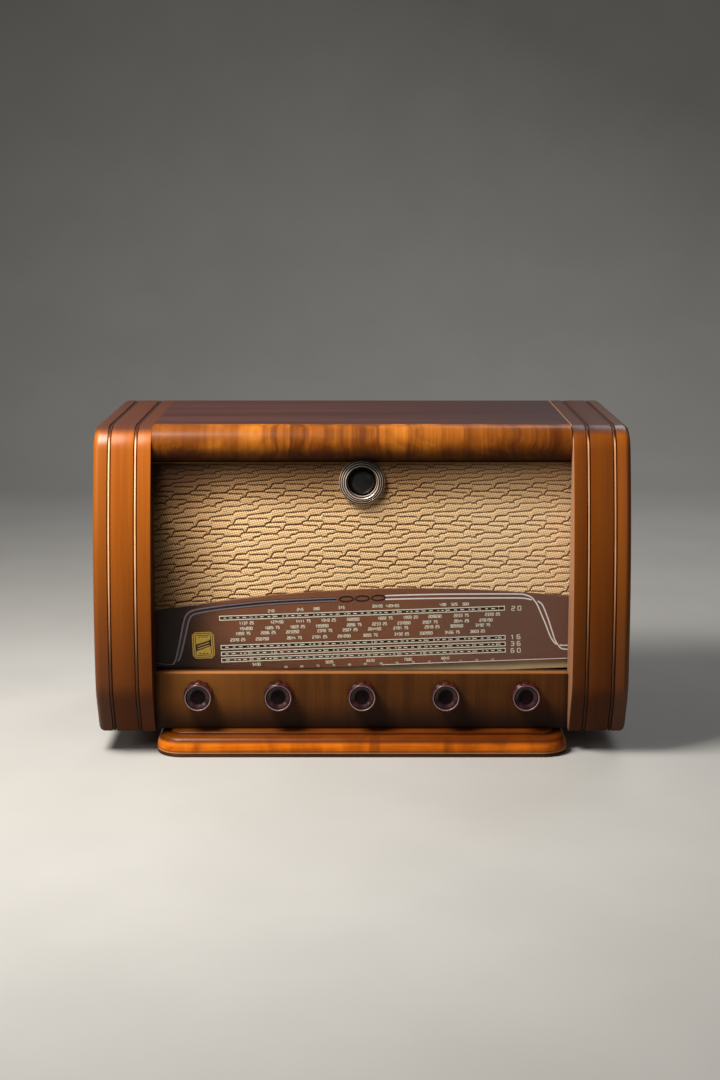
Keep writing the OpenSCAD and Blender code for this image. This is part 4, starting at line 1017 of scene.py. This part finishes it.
class Ink:
    """Flat print at one depth, gathered into one mesh. Points are in the dial's own axes."""

    def __init__(self, y):
        self.y, self.verts, self.faces = y, [], []

    def poly(self, pts):
        start = len(self.verts)
        self.verts += [(x, self.y, z) for x, z in (tilt(*p) for p in pts)]
        self.faces.append(tuple(range(start, start + len(pts))))

    def box(self, x1, z1, x2, z2):
        self.poly([(x1, z1), (x2, z1), (x2, z2), (x1, z2)])

    def line(self, pts, width, closed=False):
        """Ribbon of even width along points."""
        n = len(pts)
        left, right = [], []
        for i in range(n):
            a = pts[(i - 1) % n] if closed or i else pts[0]
            b = pts[(i + 1) % n] if closed or i < n - 1 else pts[-1]
            dx, dz = b[0] - a[0], b[1] - a[1]
            size = math.hypot(dx, dz) or 1.0
            nx, nz = -dz / size * width / 2, dx / size * width / 2
            left.append((pts[i][0] + nx, pts[i][1] + nz))
            right.append((pts[i][0] - nx, pts[i][1] - nz))
        for i in range(n if closed else n - 1):
            k = (i + 1) % n
            self.poly([right[i], right[k], left[k], left[i]])

    def border(self, x1, z1, x2, z2, w):
        """Rectangular outline of width w, inside the box."""
        self.box(x1, z1, x2, z1 + w)
        self.box(x1, z2 - w, x2, z2)
        self.box(x1, z1 + w, x1 + w, z2 - w)
        self.box(x2 - w, z1 + w, x2, z2 - w)

    def build(self, name, mat, slot):
        settle(make_object(name, self.verts, self.faces, mat), slot)


# Strokes of plain numerals on a grid two wide and four high.
STROKES = {
    "0": ((0, 0, 2, 0, 2, 4, 0, 4, 0, 0),), "1": ((0.4, 3.2, 1.2, 4, 1.2, 0),),
    "2": ((0, 4, 2, 4, 2, 2, 0, 2, 0, 0, 2, 0),), "3": ((0, 4, 2, 4, 2, 0, 0, 0), (0.4, 2, 2, 2)),
    "4": ((0, 4, 0, 1.6, 2, 1.6), (1.6, 3, 1.6, 0)), "5": ((2, 4, 0, 4, 0, 2.2, 2, 2.2, 2, 0, 0, 0),),
    "6": ((2, 4, 0, 4, 0, 0, 2, 0, 2, 2.1, 0, 2.1),), "7": ((0, 4, 2, 4, 0.8, 0),),
    "8": ((0, 0, 2, 0, 2, 4, 0, 4, 0, 0), (0, 2, 2, 2)), "9": ((2, 2, 0, 2, 0, 4, 2, 4, 2, 0, 0, 0),),
}


def number(ink, text, x, z, high, wide, weight):
    """Writes digits with their lower left at (x, z)."""
    unit, pitch, space = high / 4, 1.45, 1.2
    for ch in text:
        for run in STROKES.get(ch, ()):
            pts = [(x + run[i] * unit * wide * 2, z + run[i + 1] * unit) for i in range(0, len(run), 2)]
            for p, q in zip(pts, pts[1:]):
                ink.line([p, q], high * weight)
        x += high * wide * (pitch if ch != " " else space)


def blend(a, b, c, d, t):
    """Catmull-Rom value between b and c."""
    square, cube = (2 * a - 5 * b + 4 * c - d), (3 * b - a - 3 * c + d)
    return 0.5 * (2 * b + (c - a) * t + square * t * t + cube * t ** 3)


def smooth_path(points, per=10):
    """Curve through points given as (x, height), in the dial's own axes."""
    pts = [points[0]] + list(points) + [points[-1]]
    out = []
    for i in range(1, len(pts) - 2):
        for k in range(per):
            out.append(tuple(blend(*values, k / per) for values in zip(*pts[i - 1:i + 3])))
    out.append(points[-1])
    return [(x, z - DIAL_MID) for x, z in out]


# The dark double line at the left, from its foot up and along under the arch, and its thin tail.
LEFT_OUTER = (
    (-203.5, 97.0), (-201.0, 100.5), (-198.6, 107), (-195.2, 120), (-192.2, 132), (-189.6, 142),
    (-187.2, 149), (-183.2, 153.6), (-176, 156.2), (-166, 157.6), (-146.7, 159.6), (-110, 162.2),
    (-81.6, 163.2), (-50, 163.6), (-26, 163.6),
)
LEFT_INNER = (
    (-198.0, 100.5), (-196.0, 103.5), (-193.4, 110), (-190.0, 122), (-186.8, 134), (-184.2, 143.4),
    (-181.4, 148.8), (-179.2, 150.6), (-176, 151.8), (-166, 153.6), (-146.7, 155.8), (-110, 158.6),
    (-81.6, 159.8), (-50, 160.4), (-26, 160.5),
)
LEFT_TAIL = ((-223.9, 99.6), (-207.5, 97.2), (-203.5, 97.0))
# The pale one at the right: its outer line becomes the slope's inner one, as a turned ribbon would.
RIGHT_LINES = (
    ((26, 164.2), (60, 164.0), (100, 163.2), (146.6, 161.7), (168, 160.8), (173.3, 160.1), (178.7, 158.2),
     (181.9, 156.2), (184.1, 153.3), (186.8, 149.4), (189.6, 142.8), (193, 134.1), (196.4, 125.3),
     (199.8, 115.3), (203.1, 108.7), (207, 104.1)),
    ((187.9, 152.5), (190.6, 150.5), (192.8, 147.8), (195, 142.8), (198.4, 133), (200.7, 125.3), (203, 117.6),
     (205.3, 109.8), (208.6, 103.8), (211.9, 99.9), (217.3, 98.6), (225.2, 98.3)),
    ((210.8, 104.1), (212.9, 103.0), (225.2, 103.1)),
    ((26, 160.2), (60, 159.8), (100, 158.8), (146.7, 157.3), (168, 156.5), (176.6, 155.4), (181.4, 154)),
)


def ribbon(inks):
    """Double line round the scales, with three rings at the middle of the arch."""
    edge_w, core_w, tail_w, pale_w = 2.6, 1.5, 0.7, 1.45
    foot_line = (20.0, -36.7, 225.2, -35.9)
    outer, inner = smooth_path(LEFT_OUTER), smooth_path(LEFT_INNER)
    for k in range(len(outer) - 1):
        inks["band"].poly([inner[k], inner[k + 1], outer[k + 1], outer[k]])
    for pts in (outer, inner):
        inks["band"].line(pts, edge_w)
        inks["slate"].line(pts, core_w)
    inks["slate"].line(smooth_path(LEFT_TAIL), tail_w)
    for pts in RIGHT_LINES:
        inks["white"].line(smooth_path(pts), pale_w)
    inks["white"].box(*foot_line)
    middle_x, middle_z, apart, wide, high, ring_w = 1.8, 162.0 - DIAL_MID, 17.0, 7.2, 2.7, 1.7
    steps = 28
    turns = [2 * math.pi * i / steps for i in range(steps)]
    for k in (-1, 0, 1):
        ring = [(middle_x + k * apart + wide * math.cos(a), middle_z + high * math.sin(a)) for a in turns]
        inks["dark"].line(ring, ring_w, closed=True)


# Heights of the four scale windows from the middle of the dial, with half their own height.
BARS = ((21.0, 2.6), (-11.0, 2.5), (-18.2, 2.5), (-25.0, 2.5))
BAR_X1, BAR_X2, BAR_LINE = -151.4, 152.8, 0.9
DASHES = (5.5, 8.0, 6.4, 9.0, 4.2)


def scale_windows(inks):
    """Pale frames with divisions. The needle shows in the sheet's slots, before the baffle's strips."""
    x1, x2 = BAR_X1 + BAR_LINE, BAR_X2 - BAR_LINE
    strip_low, strip_high = -3.2, 2.2
    start, stop, last_end = BAR_X1 + 5.0, BAR_X2 - 6, BAR_X2 - 3
    dash_share, dash_half, mark_share, mark_w = 0.45, 0.5, 0.86, 0.5
    for b, (z, half) in enumerate(BARS):
        inks["cream"].border(BAR_X1, z - half, BAR_X2, z + half, BAR_LINE)
        low, high = z - half + BAR_LINE, z + half - BAR_LINE
        inks["fill"].box(x1, z + SLOT_HALF, x2, high)
        inks["fill"].box(x1, low, x2, z - SLOT_HALF)
        inks["fill"].box(SLOT_END, z - SLOT_HALF, x2, z + SLOT_HALF)
        inks["strips"].box(-SLOT_END - 1.0, z + strip_low, SLOT_END + 1.0, z + strip_high)
        x, k = start, 0
        while x < stop:
            length = DASHES[(k + b) % len(DASHES)]
            inks["cream"].box(x, z - dash_half, min(x + length * dash_share, last_end), z + dash_half)
            if k % 4 == 3:
                mark = x + length * mark_share
                inks["cream"].box(mark, low, mark + mark_w, high)
            x += length
            k += 1


# Plain numbers. Type sizes are the height, then the width and the stroke as shares of it.
ROW_TYPE = (2.8, 0.58, 0.27)
UPPER_TYPE = (2.6, 0.62, 0.27)
LOWER_TYPE = (2.6, 0.58, 0.25)
FOOT_TYPE = (1.9, 0.6, 0.2)
BAND_TYPE = (4.4, 0.72, 0.19)
# Rows between the windows are (height, where the row starts).
NUMBER_ROWS = ((139.7, -130.3), (133.7, -134.9), (128.4, -137.8), (121.7, -141.9))
UPPER_NUMBERS = (-98.8, -68.0, -50.5, -24.0, 12.0, 16.5, 27.0, 34.0, 84.0, 96.0, 108.0)
LOWER_NUMBERS = (-118.0, -40.0, 4.0, 44.0, 84.0)
BAND_NUMBERS = (("20", 160.0, 145.3), ("16", 158.4, 114.0), ("36", 158.4, 106.7), ("60", 158.4, 99.2))


def scale_numbers(cream):
    """Plain numbers above, between and below the windows, and larger ones at their right ends."""
    apart, shift = 28.6, 1.6
    upper_z, lower_z, foot_z = 152.0, 92.8, 89.2
    for r, (z, x0) in enumerate(NUMBER_ROWS):
        for c in range(10):
            x = x0 + c * apart + shift * ((c * 7 + r * 3) % 4)
            text = str(1000 + (137 * (c + 3 * r + 1)) % 8900) + (" 25", "50", " 75")[(c + r) % 3]
            number(cream, text, x, z - DIAL_MID - 1.35, *ROW_TYPE)
    for c, x in enumerate(UPPER_NUMBERS):
        number(cream, str(210 + 35 * c), x, upper_z - DIAL_MID - 0.012 * abs(x), *UPPER_TYPE)
    for c, x in enumerate(LOWER_NUMBERS):
        number(cream, str(5100 + 735 * c), x, lower_z - DIAL_MID - 0.003 * (x + 120), *LOWER_TYPE)
    for c in range(14):
        number(cream, str(60 + 5 * c)[:2], -84 + c * 17.0, foot_z - DIAL_MID, *FOOT_TYPE)
    for text, x, z in BAND_NUMBERS:
        for k, digit in enumerate(text):
            number(cream, digit, x + 6.7 * k, z - DIAL_MID - 2.1, *BAND_TYPE)


def plaque(inks):
    """Plain eight-sided plaque with a slanted bar and short dashes."""
    x1, x2, z1, z2, cut = -181.4, -158.0, 102.6 - DIAL_MID, 131.6 - DIAL_MID, 3.4
    outer_line, inner_line, line_w, bar_far, bar_near = 1.5, 3.6, 0.75, 13.5, 8.0
    dark = inks["dark"]

    def octagon(g):
        chamfer = cut + g * 0.4
        return [(x1 + chamfer, z1 + g), (x2 - chamfer, z1 + g), (x2 - g, z1 + chamfer),
                (x2 - g, z2 - chamfer), (x2 - chamfer, z2 - g), (x1 + chamfer, z2 - g),
                (x1 + g, z2 - chamfer), (x1 + g, z1 + chamfer)]

    inks["plaque"].poly(octagon(0.0))
    for g in (outer_line, inner_line):
        dark.line(octagon(g), line_w, closed=True)
    left, right = x1 + inner_line, x2 - inner_line
    dark.poly([(left, z1 + bar_near), (right, z1 + bar_far), (right, z2 - bar_near), (left, z2 - bar_far)])
    for k in range(4):
        inks["relief"].line([(x1 + 5.4, z1 + 10.6 + k * 2.9), (x2 - 5.4, z1 + 14.4 + k * 2.9)], 1.0)
    middle = (x1 + x2) / 2
    for k in (-1, 0, 1):
        for z in (z1 + 5.4, z2 - 5.4):
            dark.line([(middle + k * 3.6 - 1.2, z), (middle + k * 3.6 + 1.2, z)], 1.0)


PRINT_Y = GLASS_Y + GLASS_T - 0.06
# Print on the back of the glass, and the strips on the baffle: piece, material, slot and depth.
PRINTS = {
    "cream": ("dial_print_cream", "ink", "dial_glass", PRINT_Y),
    "white": ("dial_print_silver", "ink_white", "dial_glass", PRINT_Y),
    "dark": ("dial_print_dark", "ink_dark", "dial_glass", PRINT_Y),
    "slate": ("dial_print_slate", "ink_slate", "dial_glass", PRINT_Y + 0.01),
    "band": ("dial_print_band", "ink_band", "dial_glass", PRINT_Y + 0.02),
    "fill": ("dial_windows", "window", "dial_glass", PRINT_Y + 0.02),
    "strips": ("dial_scale_strips", "strip", "paper", BAFFLE_Y - 0.03),
    "plaque": ("dial_plaque", "gold", "dial_glass", PRINT_Y + 0.02),
    "relief": ("dial_plaque_relief", "gold", "dial_glass", PRINT_Y - 0.02),
}


def dial(mats):
    """The glass with all its print. The sheet behind it stays the CAD's, with its slots."""
    dial_pane(mats["dial_glass"])
    inks = {key: Ink(depth) for key, (_, _, _, depth) in PRINTS.items()}
    ribbon(inks)
    scale_windows(inks)
    scale_numbers(inks["cream"])
    plaque(inks)
    for key, (piece, mat, slot, _) in PRINTS.items():
        inks[key].build(piece, mats[mat], slot)


# Eye, knobs and floor

# Turned ring profile as (radius, depth behind the foremost ring).
BEZEL = [
    (24, 7.0), (24, 3.9), (23.85, 3.5), (23.5, 3.3), (23.2, 3.6), (22.95, 4.8), (22.6, 4.8), (22.35, 3.2),
    (22.0, 2.3), (21.6, 2.1), (21.2, 2.4), (20.95, 3.9), (20.55, 3.9), (20.3, 2.2), (19.9, 1.3),
    (19.5, 1.1), (19.0, 1.4), (18.7, 2.9), (18.3, 2.9), (18.05, 1.1), (17.7, 0.2), (17.2, 0.0),
    (16.8, 0.3), (16.3, 1.7), (15.7, 3.6), (15.2, 4.3), (15.0, 7.0),
]
# From the middle of the dish over the rim and down the skirt to the bore, as (radius, depth).
KNOB_PROFILE = [
    (0.0, 4.4), (7.2, 4.25), (7.7, 4.1), (8.4, 3.6), (10.1, 2.55), (11.6, 1.65), (11.9, 1.55),
    (12.2, 1.75), (12.45, 0.9), (12.7, 0.35), (13.1, 0.05), (13.7, 0.0), (14.3, 0.15), (14.65, 0.5),
    (14.8, 0.95), (14.8, 2.1), (14.5, 2.6), (13.9, 2.95), (13.8, 3.1), (13.8, 3.5), (14.1, 3.65),
    (15.2, 4.2), (15.6, 4.8), (15.7, 5.6), (15.7, 11.0), (15.7, 16.2), (15.3, 17.2), (14.7, 17.8),
    (14.0, 18.0), (3.2, 18.0), (3.2, 8.0),
]


def magic_eye(mat):
    """Bezel turned in rings. The tube in it stays the CAD's."""
    ring = lathe("eye_bezel_ringed", (0, POST, EYE[1]), BEZEL, mat, turns=128, smooth=28)
    settle(ring, "brass", "eye_bezel")


def flute(r, d, a):
    """Ten round hollows in the knob's skirt."""
    flutes, skirt_deep, skirt_r, pitch_r, hollow_r = 10, 3.6, 13, 18.0, 3.9
    if d < skirt_deep or r < skirt_r:
        return r
    span = 2 * math.pi / flutes
    off = (a + span / 2) % span - span / 2
    reach = pitch_r ** 2 * math.sin(off) ** 2
    if reach >= hollow_r ** 2:
        return r
    return min(r, pitch_r * math.cos(off) - math.sqrt(hollow_r ** 2 - reach))


def knob_rim_and_well(r, depth):
    """How pale the rim is, rubbed and with a painted highlight, and how dull the well is at this radius and
    depth.
    """
    dish, slope, step, crest, shoulder = 8.0, 11.7, 12.9, 13.4, 13.9
    rim = 0.0
    if depth < 0.2 and step < r < shoulder:
        rim = 1.0 if r < crest else 0.2
    if r < dish or (slope < r < step and depth < 2.0):
        return rim, 1.0
    if r < slope:
        return rim, 0.3
    return rim, 0.4 if depth > 2.2 else 0.0


def knobs(mat):
    """Five fluted knobs, with how pale their rims are, rubbed and with a painted highlight, and how dull
    their wells are, as attributes for the material.
    """
    for body, x in zip(("volume", "tone", "tuning", "band", "bass"), KNOBS):
        centre = (x, KNOB_Y, KNOB_Z)
        obj = lathe(body + "_knob_fluted", centre, KNOB_PROFILE, mat, turns=200, shape=flute, smooth=30)
        rim_and_well = []
        for v in obj.data.vertices:
            r = math.hypot(v.co.x - x * MM, v.co.z - KNOB_Z * MM) / MM
            rim_and_well.append(knob_rim_and_well(r, v.co.y / MM - KNOB_Y))
        for key, values in zip(("rim", "well"), zip(*rim_and_well)):
            obj.data.attributes.new(key, "FLOAT", "POINT").data.foreach_set("value", values)
        settle(obj, "bakelite", body + "_knob", body=body)


def studio_floor(mat):
    """Floor that bends up into a backdrop behind the radio."""
    front_y, bend_y, bend_r, top, half = -6000.0, 1600.0, 900.0, 4000.0, 5000.0
    run = [(front_y, 0.0), (bend_y, 0.0)]
    for a in range(6, 91, 6):
        turn = math.radians(a)
        run.append((bend_y + bend_r * math.sin(turn), bend_r - bend_r * math.cos(turn)))
    run.append((bend_y + bend_r, top))
    verts = [(x, y, z) for y, z in run for x in (-half, half)]
    faces = [(2 * i, 2 * i + 1, 2 * i + 3, 2 * i + 2) for i in range(len(run) - 1)]
    make_object("floor", verts, faces, mat, 60)


def dress_cad(mats):
    """Every CAD node takes the material of its slot, apart from a few that have their own."""
    own = {"top_panel": "top", "left_pulley": "pulley_brass", "right_pulley": "pulley_brass"}
    renamed = {"walnut": "pillar", "walnut_dark": "top"}
    slots = {s["node"]: s["material_slot"] for s in frame["record"]["subparts"]}
    for name, obj in frame["nodes"].items():
        slot = slots[name]
        obj.data.materials.clear()
        obj.data.materials.append(mats[own.get(name, renamed.get(slot, slot))])


set_camera()
set_light()
mats = make_materials()
dress_cad(mats)
side_panels(mats["side"])
pillars(mats["pillar"], mats["bead"])
front_rail(mats["rail"])
knob_panel(mats["panel"])
plinth(mats["plinth"], mats["base"])
speaker_cloth(mats["cloth"])
dial(mats)
magic_eye(mats["brass"])
knobs(mats["bakelite"])
studio_floor(mats["floor"])
